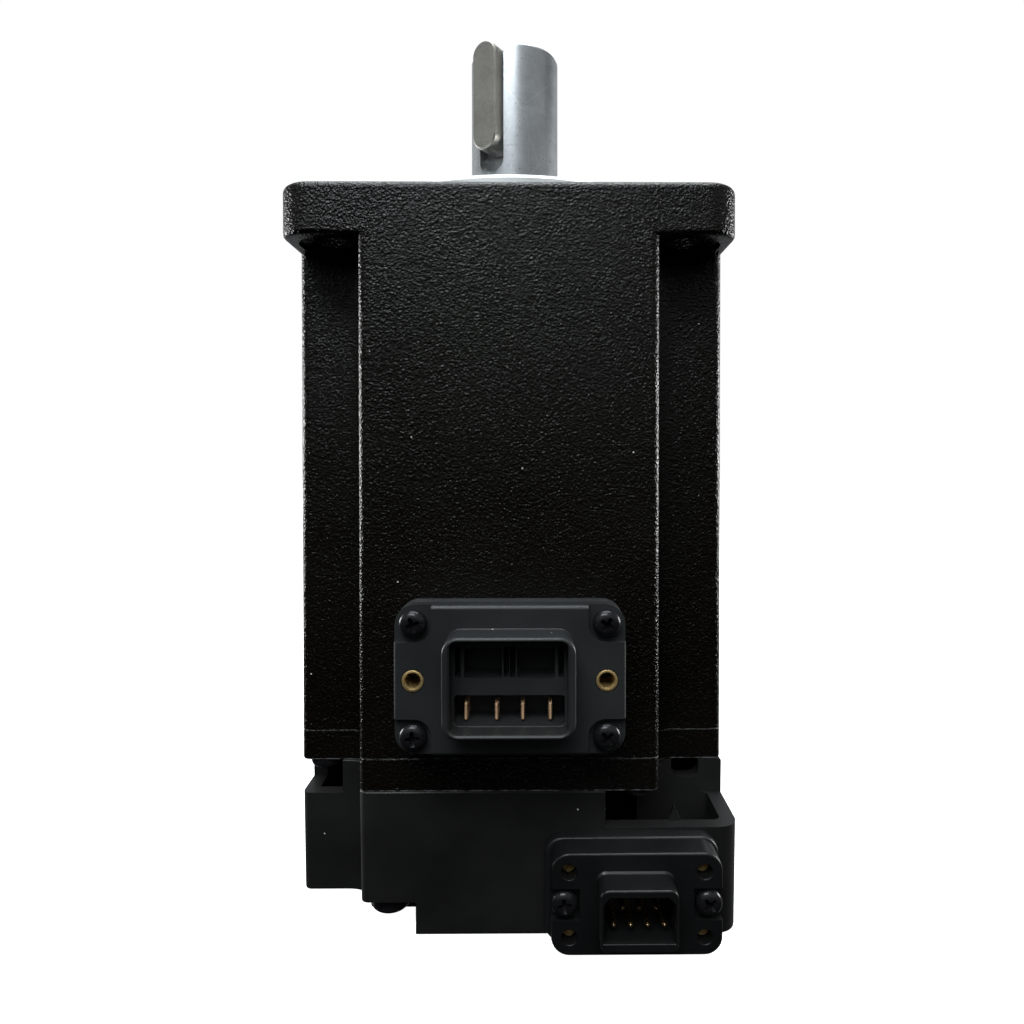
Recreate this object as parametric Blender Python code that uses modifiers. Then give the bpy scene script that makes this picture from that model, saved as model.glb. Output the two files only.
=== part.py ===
"""An 80 mm frame AC servo motor, shaft up, standing on the flat rear of its encoder cover.

The origin is on the shaft's axis at the cover's rear face, +Z runs along the shaft and the
two connectors face -Y. Sizes are in metres. The stack from the bottom is encoder cover,
rear end bell, housing with its square flange and round pilot, and the keyed shaft.
"""

import math

import bmesh
import bpy
from mathutils import Matrix, Vector

# Room between pieces that touch.
GAP = 0.0003

# Heights of the main faces above the rear face.
COVER_TOP = 0.0252
BELL_TOP = 0.0308
FLANGE_UNDERSIDE = 0.1210
FLANGE_FACE = 0.1302
PILOT_FACE = 0.1332
SHAFT_TIP = 0.1702

# Cross section: two crossed bars, so bolts reach the flange's holes past the open corners.
REACH = 0.0400
ARM_HALF = 0.0260
EDGE_RADIUS = 0.0020
RECESS_RADIUS = 0.0050
FLANGE_RADIUS = 0.0055
BORE_RADIUS = 0.0360

# Standard mounting pattern of the 80 mm frame.
PILOT_RADIUS = 0.0350
BOLT_CIRCLE_RADIUS = 0.0450
BOLT_HOLE_RADIUS = 0.0033
SPOTFACE_RADIUS = 0.0060

# Shaft and key.
SHAFT_RADIUS = 0.0095
KEY_WIDTH = 0.0060
KEY_HEIGHT = 0.0060
KEY_LENGTH = 0.0225
KEYWAY_DEPTH = 0.0035
KEYWAY_BOTTOM = SHAFT_TIP - 0.0272
KEY_TURN = math.radians(-121.5)

# Bearings: bore radius, outer radius, bottom and top.
FRONT_BEARING = (0.0100, 0.0235, 0.1123, 0.1263)
REAR_BEARING = (0.0075, 0.0175, 0.0265, 0.0355)

# Stator and rotor.
STACK_BOTTOM = 0.0600
STACK_TOP = 0.1040
STATOR_RADIUS = 0.0357
TOOTH_RADIUS = 0.0218
SLOT_RADIUS = 0.0312
MAGNET_RADIUS = 0.0210
ROTOR_CORE_RADIUS = 0.0179
SLOTS = 12

# Encoder cover.
COVER_WALL = 0.0028
COVER_FLOOR = 0.0030
WINDOW_SILL = 0.0188
CORNER_RADIUS = 0.0035
NOTCH_CEILING = 0.0058
BELL_SCREW_OUT = 0.0359
BELL_SCREW_ASIDE = 0.0228
COVER_SCREW_X = 0.0213
COVER_SCREW_Y = 0.0352

# Power connector on the front panel: centre, flange, socket shell.
POWER_X = 0.0004
POWER_Z = 0.0467
POWER_SIZE = (0.0376, 0.0244)
POWER_FACE = 0.0482
POWER_SHELL_Z = 0.04715
POWER_SHELL = (0.0208, 0.0159)
POWER_MOUTH_Z = 0.0472
POWER_MOUTH = (0.0184, 0.0145)
POWER_RIM = 0.0542
POWER_FLOOR = 0.0500
POWER_TONGUE_Z = 0.0455
POWER_BLADE_Z = 0.04215
POWER_SCREW_X = 0.0157
POWER_SCREW_Z = 0.0092
POWER_PINS_X = (-0.0070, -0.0021, 0.0021, 0.0065)

# Encoder connector on the cover: centre, base pad, flange, socket shell.
SIGNAL_X = 0.0211
SIGNAL_Z = 0.0098
PAD_SIZE = (0.0296, 0.0180)
PAD_Z = 0.0093
PAD_FACE = 0.0424
SIGNAL_SIZE = (0.0281, 0.0168)
SIGNAL_FACE = 0.0475
SIGNAL_SHELL = (0.0124, 0.0099)
SIGNAL_SHELL_X = 0.02085
SIGNAL_SHELL_Z = 0.01005
SIGNAL_POCKET = 0.0014
SIGNAL_RIM = 0.0526
SIGNAL_PIN_PITCH = 0.00272
SIGNAL_PIN_RADIUS = 0.00045
SIGNAL_PIN_TIP = 0.0503

for leftover in list(bpy.data.objects):
    bpy.data.objects.remove(leftover)


def new_collection(name):
    made = bpy.data.collections.new(name)
    bpy.context.scene.collection.children.link(made)
    return made


PARTS = new_collection("servo_motor")
CUTTERS = new_collection("cutters")


def new_material(name, colour, roughness, metallic=0.0):
    made = bpy.data.materials.new(name)
    made.use_nodes = True
    shader = made.node_tree.nodes["Principled BSDF"]
    shader.inputs["Base Color"].default_value = (*colour, 1.0)
    shader.inputs["Roughness"].default_value = roughness
    shader.inputs["Metallic"].default_value = metallic
    made.diffuse_color = (*colour, 1.0)
    return made


BLACK_PAINT = new_material("black_paint", (0.016, 0.016, 0.015), 0.42)
BLACK_PLASTIC = new_material("black_plastic", (0.020, 0.021, 0.023), 0.50)
DARK_RUBBER = new_material("dark_rubber", (0.012, 0.012, 0.012), 0.75)
STEEL = new_material("ground_steel", (0.55, 0.57, 0.60), 0.22, 1.0)
DARK_STEEL = new_material("key_steel", (0.30, 0.29, 0.27), 0.45, 1.0)
BLACK_STEEL = new_material("blackened_steel", (0.05, 0.05, 0.055), 0.30, 1.0)
ELECTRICAL_STEEL = new_material("electrical_steel", (0.35, 0.35, 0.36), 0.45, 1.0)
MAGNET = new_material("magnet", (0.20, 0.20, 0.21), 0.35, 1.0)
COPPER = new_material("copper", (0.72, 0.36, 0.18), 0.35, 1.0)
BRASS = new_material("brass", (0.70, 0.52, 0.25), 0.30, 1.0)
GOLD = new_material("gold_plate", (0.83, 0.62, 0.30), 0.25, 1.0)
BOARD_GREEN = new_material("circuit_board", (0.02, 0.13, 0.05), 0.45)
GLASS_DISC = new_material("encoder_glass", (0.55, 0.58, 0.60), 0.10)


def placed(name, mesh, material, location=(0, 0, 0), rotation=(0, 0, 0)):
    made = bpy.data.objects.new(name, mesh)
    made.location = location
    made.rotation_euler = rotation
    mesh.materials.clear()
    mesh.materials.append(material)
    PARTS.objects.link(made)
    return made


def evaluated_mesh(source, merge=0.0):
    bpy.context.view_layer.update()
    graph = bpy.context.evaluated_depsgraph_get()
    mesh = bpy.data.meshes.new_from_object(source.evaluated_get(graph))
    if merge:
        work = bmesh.new()
        work.from_mesh(mesh)
        bmesh.ops.remove_doubles(work, verts=work.verts, dist=merge)
        bmesh.ops.recalc_face_normals(work, faces=work.faces)
        work.to_mesh(mesh)
        work.free()
    return mesh


def as_cutter(made):
    made.hide_render = True
    made.display_type = "WIRE"
    PARTS.objects.unlink(made)
    CUTTERS.objects.link(made)
    return made


def combine(target, tools, operation, solver):
    for tool in tools:
        if tool.name not in CUTTERS.objects:
            as_cutter(tool)
        change = target.modifiers.new(f"{operation.lower()} {tool.name}", "BOOLEAN")
        change.operation = operation
        change.solver = solver
        change.object = tool
    return target


def cut(target, *tools, solver="EXACT"):
    return combine(target, tools, "DIFFERENCE", solver)


def join(target, *tools, solver="EXACT"):
    return combine(target, tools, "UNION", solver)


def rounded(corners, steps=3):
    """The outline through the corners (x, y, radius), each rounded by its radius."""
    points = []
    for i, (x, y, radius) in enumerate(corners):
        here = Vector((x, y))
        if not radius:
            points.append(here)
            continue
        before = (Vector(corners[i - 1][:2]) - here).normalized()
        after = (Vector(corners[(i + 1) % len(corners)][:2]) - here).normalized()
        half = before.angle(after) / 2
        centre = here + (before + after).normalized() * radius / math.sin(half)
        start = here + before * radius / math.tan(half) - centre
        end = here + after * radius / math.tan(half) - centre
        turn = math.atan2(start.x * end.y - start.y * end.x, start.dot(end))
        for step in range(steps + 1):
            points.append(centre + Matrix.Rotation(turn * step / steps, 2) @ start)
    return points


def rectangle(x, y, width, height, radius=0.0, steps=3):
    right, top = width / 2, height / 2
    signs = ((-1, -1), (1, -1), (1, 1), (-1, 1))
    return rounded([(x + a * right, y + b * top, radius) for a, b in signs], steps)


def circle(x, y, radius, sides=24):
    turns = (math.tau * (i + 0.5) / sides for i in range(sides))
    return [Vector((x + radius * math.cos(t), y + radius * math.sin(t))) for t in turns]


def cross_section(reach, half, edge, recess, square_corner=0.0, steps=3):
    """Two crossed bars. With square_corner, the corner at +X, -Y is filled out square."""
    corners = []
    for quarter in range(4):
        turn = Matrix.Rotation(quarter * math.pi / 2, 2)
        if quarter == 0 and square_corner:
            shape = [(reach, -reach, square_corner)]
        else:
            shape = [(half, -reach, edge), (half, -half, recess), (reach, -half, edge)]
        corners += [(*(turn @ Vector((x, y))), radius) for x, y, radius in shape]
    return rounded(corners, steps)


def extruded(name, outlines, low, high, material, facing="up"):
    """A flat outline, and any holes in it, between two heights.

    Facing up, the outline is in X and Y. Facing front, it is in X and Z and the heights
    are distances in front of the axis, towards -Y.
    """
    curve = bpy.data.curves.new(name, "CURVE")
    curve.dimensions = "2D"
    curve.fill_mode = "BOTH"
    curve.extrude = (high - low) / 2
    for outline in outlines:
        spline = curve.splines.new("POLY")
        spline.points.add(len(outline) - 1)
        for point, (x, y) in zip(spline.points, outline):
            point.co = (x, y, 0, 1)
        spline.use_cyclic_u = True
    drawn = bpy.data.objects.new(f"{name} outline", curve)
    PARTS.objects.link(drawn)
    mesh = evaluated_mesh(drawn, merge=1e-7)
    bpy.data.objects.remove(drawn)
    bpy.data.curves.remove(curve)
    middle = (low + high) / 2
    if facing == "front":
        return placed(name, mesh, material, (0, -middle, 0), (math.pi / 2, 0, 0))
    return placed(name, mesh, material, (0, 0, middle))


def box(name, low, high, material):
    mesh = bpy.data.meshes.new(name)
    work = bmesh.new()
    bmesh.ops.create_cube(work, size=1.0)
    size = [b - a for a, b in zip(low, high)]
    bmesh.ops.scale(work, vec=size, verts=work.verts)
    work.to_mesh(mesh)
    work.free()
    return placed(name, mesh, material, [(a + b) / 2 for a, b in zip(low, high)])


def turned(name, profile, material, sides=32, location=(0, 0, 0), rotation=(0, 0, 0)):
    """A profile (radius, height) turned about Z: outer side first, top to bottom."""
    mesh = bpy.data.meshes.new(name)
    ring = min(radius for radius, _ in profile) > 0
    edges = [(i, i + 1) for i in range(len(profile) - 1)]
    if ring:
        edges.append((len(profile) - 1, 0))
    mesh.from_pydata([(radius, 0, height) for radius, height in profile], edges, [])
    made = placed(name, mesh, material, location, rotation)
    turn = made.modifiers.new("turn", "SCREW")
    turn.axis = "Z"
    turn.angle = math.tau
    turn.steps = sides
    turn.render_steps = sides
    turn.use_merge_vertices = True
    turn.merge_threshold = 0.000001
    turn.use_smooth_shade = True
    return made


def ring(name, inner, outer, low, high, material, sides=32, chamfer=0.0):
    profile = [(outer, high - chamfer), (outer, low + chamfer)]
    if chamfer:
        profile = [(outer - chamfer, high), *profile, (outer - chamfer, low)]
    return turned(name, profile + [(inner, low), (inner, high)], material, sides)


def cylinder(name, radius, low, high, material, sides=24, x=0.0, y=0.0):
    profile = [(0, high), (radius, high), (radius, low), (0, low)]
    return turned(name, profile, material, sides, (x, y, 0))


def front_cylinder(name, radius, low, high, material, x, z, sides=20):
    profile = [(0, high), (radius, high), (radius, low), (0, low)]
    return turned(name, profile, material, sides, (x, 0, z), (math.pi / 2, 0, 0))


def screw_mesh(name, head_radius, head_height, shank_radius, shank_length, recessed=True):
    """A pan-head screw, its head up from z = 0, with a square-sided cross recess."""
    profile = [
        (0, head_height),
        (head_radius * 0.70, head_height),
        (head_radius, head_height * 0.60),
        (head_radius, 0),
        (shank_radius, 0),
        (shank_radius, -shank_length),
        (0, -shank_length),
    ]
    screw = turned(f"{name} blank", profile, BLACK_STEEL, 12)
    if not recessed:
        mesh = evaluated_mesh(screw)
        bpy.data.objects.remove(screw)
        return mesh
    wing, slot = head_radius * 0.52, head_radius * 0.13
    star = cross_section(wing, slot, 0, 0)
    low, high = head_height * 0.45, head_height + 0.001
    recess = extruded(f"{name} recess", [star], low, high, BLACK_STEEL)
    cut(screw, recess)
    mesh = evaluated_mesh(screw)
    for used in (screw, recess):
        bpy.data.objects.remove(used)
    return mesh


def bearing_profile_radii(bearing):
    bore, outer, low, high = bearing
    pitch = (bore + outer) / 2
    ball = (outer - bore) * 0.27
    return bore, outer, low, high, pitch, ball


def bearing(prefix, sizes, balls):
    """A deep-groove ball bearing: two rings, and the balls held in one cage."""
    bore, outer, low, high, pitch, ball = bearing_profile_radii(sizes)
    middle = (low + high) / 2
    shoulder = ball * 0.62
    groove = ball + 0.0005
    outer_profile = [(outer - GAP, high), (outer - GAP, low), (pitch + shoulder, low)]
    swing = math.acos(shoulder / groove)
    angles = [swing * i / 2 for i in (-2, -1, 0, 1, 2)]
    outer_profile += [(pitch + groove * math.cos(a), middle + groove * math.sin(a)) for a in angles]
    outer_profile.append((pitch + shoulder, high))
    inner_profile = [(pitch - shoulder, high)]
    inner_profile += [
        (pitch - groove * math.cos(a), middle + groove * math.sin(a)) for a in reversed(angles)
    ]
    inner_profile += [(pitch - shoulder, low), (bore + GAP, low), (bore + GAP, high)]
    turned(f"{prefix}_outer_ring", outer_profile, STEEL, 24)
    turned(f"{prefix}_inner_ring", inner_profile, STEEL, 24)
    cage = ring(
        f"{prefix}_balls",
        pitch - shoulder * 0.55,
        pitch + shoulder * 0.55,
        middle - ball * 0.35,
        middle + ball * 0.35,
        STEEL,
        24,
    )
    for i in range(balls):
        turn = math.tau * i / balls
        mesh = bpy.data.meshes.new(f"{prefix} ball")
        work = bmesh.new()
        bmesh.ops.create_uvsphere(work, u_segments=6, v_segments=4, radius=ball)
        work.to_mesh(mesh)
        work.free()
        where = (pitch * math.cos(turn), pitch * math.sin(turn), middle)
        join(cage, placed(f"{prefix} ball {i + 1}", mesh, STEEL, where))


def tube(name, points, radius, material):
    curve = bpy.data.curves.new(name, "CURVE")
    curve.dimensions = "3D"
    curve.bevel_depth = radius
    curve.bevel_resolution = 1
    curve.use_fill_caps = True
    spline = curve.splines.new("POLY")
    spline.points.add(len(points) - 1)
    for point, co in zip(spline.points, points):
        point.co = (*co, 1)
    drawn = bpy.data.objects.new(f"{name} route", curve)
    PARTS.objects.link(drawn)
    mesh = evaluated_mesh(drawn, merge=1e-7)
    bpy.data.objects.remove(drawn)
    bpy.data.curves.remove(curve)
    return placed(name, mesh, material)


def smooth_route(knots, steps=3):
    """Points on a Catmull-Rom curve through the knots."""
    knots = [Vector(k) for k in knots]
    ends = [2 * knots[0] - knots[1], *knots, 2 * knots[-1] - knots[-2]]
    points = []
    for a, b, c, d in zip(ends, ends[1:], ends[2:], ends[3:]):
        for i in range(steps):
            t = i / steps
            points.append(
                0.5 * (2 * b + (c - a) * t + (2 * a - 5 * b + 4 * c - d) * t**2)
                + 0.5 * (3 * b - a - 3 * c + d) * t**3
            )
    return [*points, knots[-1]]


def pinwheel(out, aside):
    """Four places, one at the right of each side as seen from outside it."""
    return [Matrix.Rotation(i * math.pi / 2, 2) @ Vector((aside, -out)) for i in range(4)]


def make_housing():
    section = cross_section(REACH, ARM_HALF, EDGE_RADIUS, RECESS_RADIUS)
    housing = extruded("housing", [section], BELL_TOP, FLANGE_UNDERSIDE + 0.002, BLACK_PAINT)
    flange_outline = rectangle(0, 0, 2 * REACH, 2 * REACH, FLANGE_RADIUS, 6)
    flange = extruded("flange", [flange_outline], FLANGE_UNDERSIDE, FLANGE_FACE, BLACK_PAINT)
    pilot = cylinder("pilot", PILOT_RADIUS, FLANGE_FACE - 0.002, PILOT_FACE, BLACK_PAINT, 40)
    join(housing, flange, pilot)
    _, bearing_radius, bearing_low, bearing_high = FRONT_BEARING
    bore = [
        (0, PILOT_FACE + 0.001),
        (0.0160, PILOT_FACE + 0.001),
        (0.0160, bearing_high + 0.0008),
        (0.0200, bearing_high + 0.0008),
        (0.0200, bearing_high + GAP),
        (bearing_radius, bearing_high + GAP),
        (bearing_radius, bearing_low - 0.001),
        (BORE_RADIUS, bearing_low - 0.001),
        (BORE_RADIUS, BELL_TOP - 0.001),
        (0, BELL_TOP - 0.001),
    ]
    cut(housing, turned("housing bore", bore, BLACK_PAINT, 32))
    offset = BOLT_CIRCLE_RADIUS / math.sqrt(2)
    for i, (a, b) in enumerate(((-1, -1), (1, -1), (1, 1), (-1, 1))):
        profile = [
            (0, FLANGE_FACE + 0.001),
            (BOLT_HOLE_RADIUS, FLANGE_FACE + 0.001),
            (BOLT_HOLE_RADIUS, FLANGE_UNDERSIDE + 0.0006),
            (SPOTFACE_RADIUS, FLANGE_UNDERSIDE + 0.0006),
            (SPOTFACE_RADIUS, FLANGE_UNDERSIDE - 0.001),
            (0, FLANGE_UNDERSIDE - 0.001),
        ]
        where = (a * offset, b * offset, 0)
        cut(housing, turned(f"bolt hole {i + 1}", profile, BLACK_PAINT, 16, where))
    port = rectangle(POWER_X, POWER_TONGUE_Z, 0.0150, 0.0110)
    cut(housing, extruded("power port", [port], 0.030, 0.042, BLACK_PAINT, "front"))
    for i, (x, z) in enumerate(power_screw_places()):
        name = f"power screw hole {i + 1}"
        cut(housing, front_cylinder(name, 0.0015, 0.0357, 0.042, BLACK_PAINT, x, z, 8))
    for i, (x, y) in enumerate(pinwheel(BELL_SCREW_OUT, BELL_SCREW_ASIDE)):
        name = f"bell screw hole {i + 1}"
        cut(housing, cylinder(name, 0.0023, 0.029, 0.0425, BLACK_PAINT, 8, x, y))


def make_end_bell():
    section = cross_section(REACH, ARM_HALF, EDGE_RADIUS, RECESS_RADIUS)
    low, high = COVER_TOP, BELL_TOP - GAP
    bell = extruded("rear_end_bell", [section], low, high, BLACK_PAINT)
    _, seat, bearing_low, bearing_high = REAR_BEARING
    boss_top = bearing_high + 0.001
    wall_foot = 0.0133
    for boss in (
        cylinder("bearing boss", seat + 0.0045, high - 0.002, boss_top, BLACK_PAINT, 28),
        cylinder("lower boss", seat + 0.0030, 0.0228, low + 0.003, BLACK_PAINT, 28),
        ring("encoder wall", 0.0295, 0.0330, wall_foot, low + 0.002, BLACK_PAINT, 36),
    ):
        join(bell, boss, solver="MANIFOLD")
    bore = [
        (0, bearing_high + 0.002),
        (seat, bearing_high + 0.002),
        (seat, bearing_low - 0.0005 - GAP),
        (0.0120, bearing_low - 0.0005 - GAP),
        (0.0120, 0.0218),
        (0, 0.0218),
    ]
    ways = [turned("bell bore", bore, BLACK_PAINT, 28)]
    for i, (x, y) in enumerate(pinwheel(BELL_SCREW_OUT, BELL_SCREW_ASIDE)):
        name = f"bell screw way {i + 1}"
        ways.append(cylinder(name, 0.0023, low - 0.001, high + 0.001, BLACK_PAINT, 8, x, y))
    for i, side in enumerate((-1, 1)):
        x, y = side * COVER_SCREW_X, side * COVER_SCREW_Y
        name = f"cover screw hole {i + 1}"
        ways.append(cylinder(name, 0.0018, low - 0.001, low + 0.0042, BLACK_PAINT, 8, x, y))
        name = f"board screw hole {i + 1}"
        x = side * 0.03125
        ways.append(cylinder(name, 0.0012, 0.012, 0.0205, BLACK_PAINT, 8, x, 0))
    for way in ways:
        cut(bell, way, solver="MANIFOLD")


def make_cover():
    outline = cross_section(REACH, ARM_HALF, EDGE_RADIUS, RECESS_RADIUS, CORNER_RADIUS)
    cover = extruded("encoder_cover", [outline], 0, COVER_TOP - GAP, BLACK_PLASTIC)
    inside = REACH - COVER_WALL
    chamber = cross_section(inside, ARM_HALF - COVER_WALL, 0.0008, RECESS_RADIUS + COVER_WALL)
    top = COVER_TOP + 0.001
    hollow = extruded("cover hollow", [chamber], COVER_FLOOR, top, BLACK_PLASTIC)
    # The square corner behind the encoder connector has a pocket that opens into the chamber.
    corner = (0.0280, -inside, COVER_FLOOR), (inside, -0.0262, top)
    passage = (0.0170, -inside, COVER_FLOOR), (0.0285, -0.0290, top)
    for name, (low, high) in (("corner pocket", corner), ("passage", passage)):
        join(hollow, box(name, low, high, BLACK_PLASTIC))
    notches = []
    for i, side in enumerate((-1, 1)):
        x = sorted((side * (ARM_HALF + 0.001), side * 0.0135))
        y = sorted((side * (REACH + 0.001), side * 0.0285))
        low, high = (x[0], y[0], 0.002), (x[1], y[1], 0.0088)
        cut(hollow, box(f"cover post {i + 1}", low, high, BLACK_PLASTIC))
        x = sorted((side * (ARM_HALF + 0.001), side * 0.0162))
        y = sorted((side * (REACH + 0.001), side * 0.0313))
        low, high = (x[0], y[0], -0.001), (x[1], y[1], NOTCH_CEILING)
        notches.append(box(f"cover notch {i + 1}", low, high, BLACK_PLASTIC))
    cut(cover, hollow)
    cut(cover, *notches)
    for i, side in enumerate((-1, 1)):
        x, y = side * COVER_SCREW_X, side * COVER_SCREW_Y
        name = f"cover screw way {i + 1}"
        cut(cover, cylinder(name, 0.0018, 0.004, 0.010, BLACK_PLASTIC, 8, x, y))
    windows = (
        ((0.0166, -0.0410, WINDOW_SILL), (0.0410, -0.0290, top)),
        ((0.0280, -0.0300, WINDOW_SILL), (0.0410, -0.0262, top)),
        ((-0.0410, -0.0270, WINDOW_SILL), (-0.0322, -0.0180, top)),
        ((-0.0270, 0.0322, WINDOW_SILL), (-0.0180, 0.0410, top)),
        ((0.0322, 0.0180, WINDOW_SILL), (0.0410, 0.0270, top)),
    )
    for i, (low, high) in enumerate(windows):
        cut(cover, box(f"cover window {i + 1}", low, high, BLACK_PLASTIC))
    low, high = (0.0304, -0.0275, 0.0218), (0.0357, -0.0225, top)
    cut(cover, box("lead notch", low, high, BLACK_PLASTIC))
    port = rectangle(SIGNAL_X, SIGNAL_Z, 0.0120, 0.0080)
    cut(cover, extruded("signal port", [port], 0.036, 0.042, BLACK_PLASTIC, "front"))
    for i, side in enumerate((-1, 1)):
        x = SIGNAL_X + side * 0.01185
        name = f"signal screw hole {i + 1}"
        cut(cover, front_cylinder(name, 0.0014, 0.0379, 0.042, BLACK_PLASTIC, x, SIGNAL_Z, 8))


def power_screw_places():
    return [
        (POWER_X + a * POWER_SCREW_X, POWER_Z + b * POWER_SCREW_Z)
        for a, b in ((-1, 1), (1, 1), (-1, -1), (1, -1))
    ]


def make_power_connector():
    width, height = POWER_SIZE
    holes = [circle(x, z, 0.0015, 8) for x, z in power_screw_places()]
    middle = rectangle(POWER_X, POWER_TONGUE_Z, 0.0150, 0.0110)
    rim = rectangle(POWER_X, POWER_Z, width - 0.0006, height - 0.0006, 0.0030)
    outlines = [rim, middle, *holes]
    extruded("power_gasket", outlines, REACH + GAP, REACH + 0.0012, DARK_RUBBER, "front")

    back = REACH + 0.0015
    rim = rectangle(POWER_X, POWER_Z, width, height, 0.0032)
    body = extruded("power_connector", [rim], back, POWER_FACE, BLACK_PLASTIC, "front")
    shell = rectangle(POWER_X, POWER_SHELL_Z, *POWER_SHELL, 0.0030)
    root = POWER_FACE - 0.001
    join(body, extruded("power shell", [shell], root, POWER_RIM, BLACK_PLASTIC, "front"))
    tongue = rectangle(POWER_X, POWER_TONGUE_Z, 0.0142, 0.0102)
    join(body, extruded("power tongue", [tongue], 0.0362, back + 0.001, BLACK_PLASTIC, "front"))
    mouth = rectangle(POWER_X, POWER_MOUTH_Z, *POWER_MOUTH, 0.0011)
    name, past = "power mouth", POWER_RIM + 0.001
    cut(body, extruded(name, [mouth], POWER_FLOOR, past, BLACK_PLASTIC, "front"))
    past = POWER_FLOOR + 0.001
    for i, side in enumerate((-1, 1)):
        upper = rectangle(POWER_X + side * 0.0042, 0.0501, 0.0060, 0.0048)
        name = f"power key cavity {i + 1}"
        cut(body, extruded(name, [upper], 0.0440, past, BLACK_PLASTIC, "front"))
    lower = rectangle(POWER_X, 0.04275, 0.0176, 0.0045)
    cut(body, extruded("power pin cavity", [lower], 0.0440, past, BLACK_PLASTIC, "front"))
    for i, x in enumerate(POWER_PINS_X):
        way = rectangle(POWER_X + x, POWER_BLADE_Z, 0.0012, 0.0035)
        cut(body, extruded(f"power pin way {i + 1}", [way], 0.035, 0.045, BLACK_PLASTIC, "front"))
    left, right = POWER_X - width / 2 - 0.001, POWER_X + width / 2 + 0.001
    for i, (x, z) in enumerate(power_screw_places()):
        out = left if x < POWER_X else right
        inward = x + math.copysign(0.0030, POWER_X - x)
        lift = math.copysign(0.0030, POWER_Z - z)
        edge = POWER_Z + math.copysign(height / 2 + 0.001, z - POWER_Z)
        corner = [(out, z + lift, 0), (inward, z + lift, 0.0028), (inward, edge, 0), (out, edge, 0)]
        name, past = f"power screw pocket {i + 1}", POWER_FACE + 0.001
        step = [rounded(corner)]
        cut(body, extruded(name, step, POWER_FACE - 0.0012, past, BLACK_PLASTIC, "front"))
        name = f"power screw way {i + 1}"
        cut(body, front_cylinder(name, 0.0015, 0.040, 0.050, BLACK_PLASTIC, x, z, 8))
    for i, side in enumerate((-1, 1)):
        x = POWER_X + side * POWER_SCREW_X
        name = f"power insert seat {i + 1}"
        cut(body, front_cylinder(name, 0.0021, 0.0422, 0.049, BLACK_PLASTIC, x, POWER_Z, 12))
        profile = [
            (0.0018, POWER_FACE),
            (0.0018, 0.0425),
            (0.0011, 0.0425),
            (0.0011, POWER_FACE),
        ]
        turned(f"power_insert_{i + 1}", profile, BRASS, 12, (x, 0, POWER_Z), (math.pi / 2, 0, 0))
    for i, x in enumerate(POWER_PINS_X):
        low = (POWER_X + x - 0.0003, -0.0494, POWER_BLADE_Z - 0.00145)
        high = (POWER_X + x + 0.0003, -0.0356, POWER_BLADE_Z + 0.00145)
        box(f"power_pin_{i + 1}", low, high, COPPER)
    mesh = screw_mesh("power screw", 0.00225, 0.0019, 0.0012, 0.0107)
    for i, (x, z) in enumerate(power_screw_places()):
        where = (x, -(POWER_FACE - 0.0012 + GAP), z)
        placed(f"power_screw_{i + 1}", mesh, BLACK_STEEL, where, (math.pi / 2, 0, 0))


def signal_insert_places():
    return [
        (SIGNAL_X + a * 0.0111, SIGNAL_Z + b * 0.00535)
        for a, b in ((-1, 1), (1, 1), (-1, -1), (1, -1))
    ]


def signal_pin_places():
    lower = [(SIGNAL_X + (i - 1.5) * SIGNAL_PIN_PITCH, 0.0081) for i in range(4)]
    upper = [(SIGNAL_X + (i - 1.0) * SIGNAL_PIN_PITCH, 0.0108) for i in range(3)]
    return lower + upper


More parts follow.
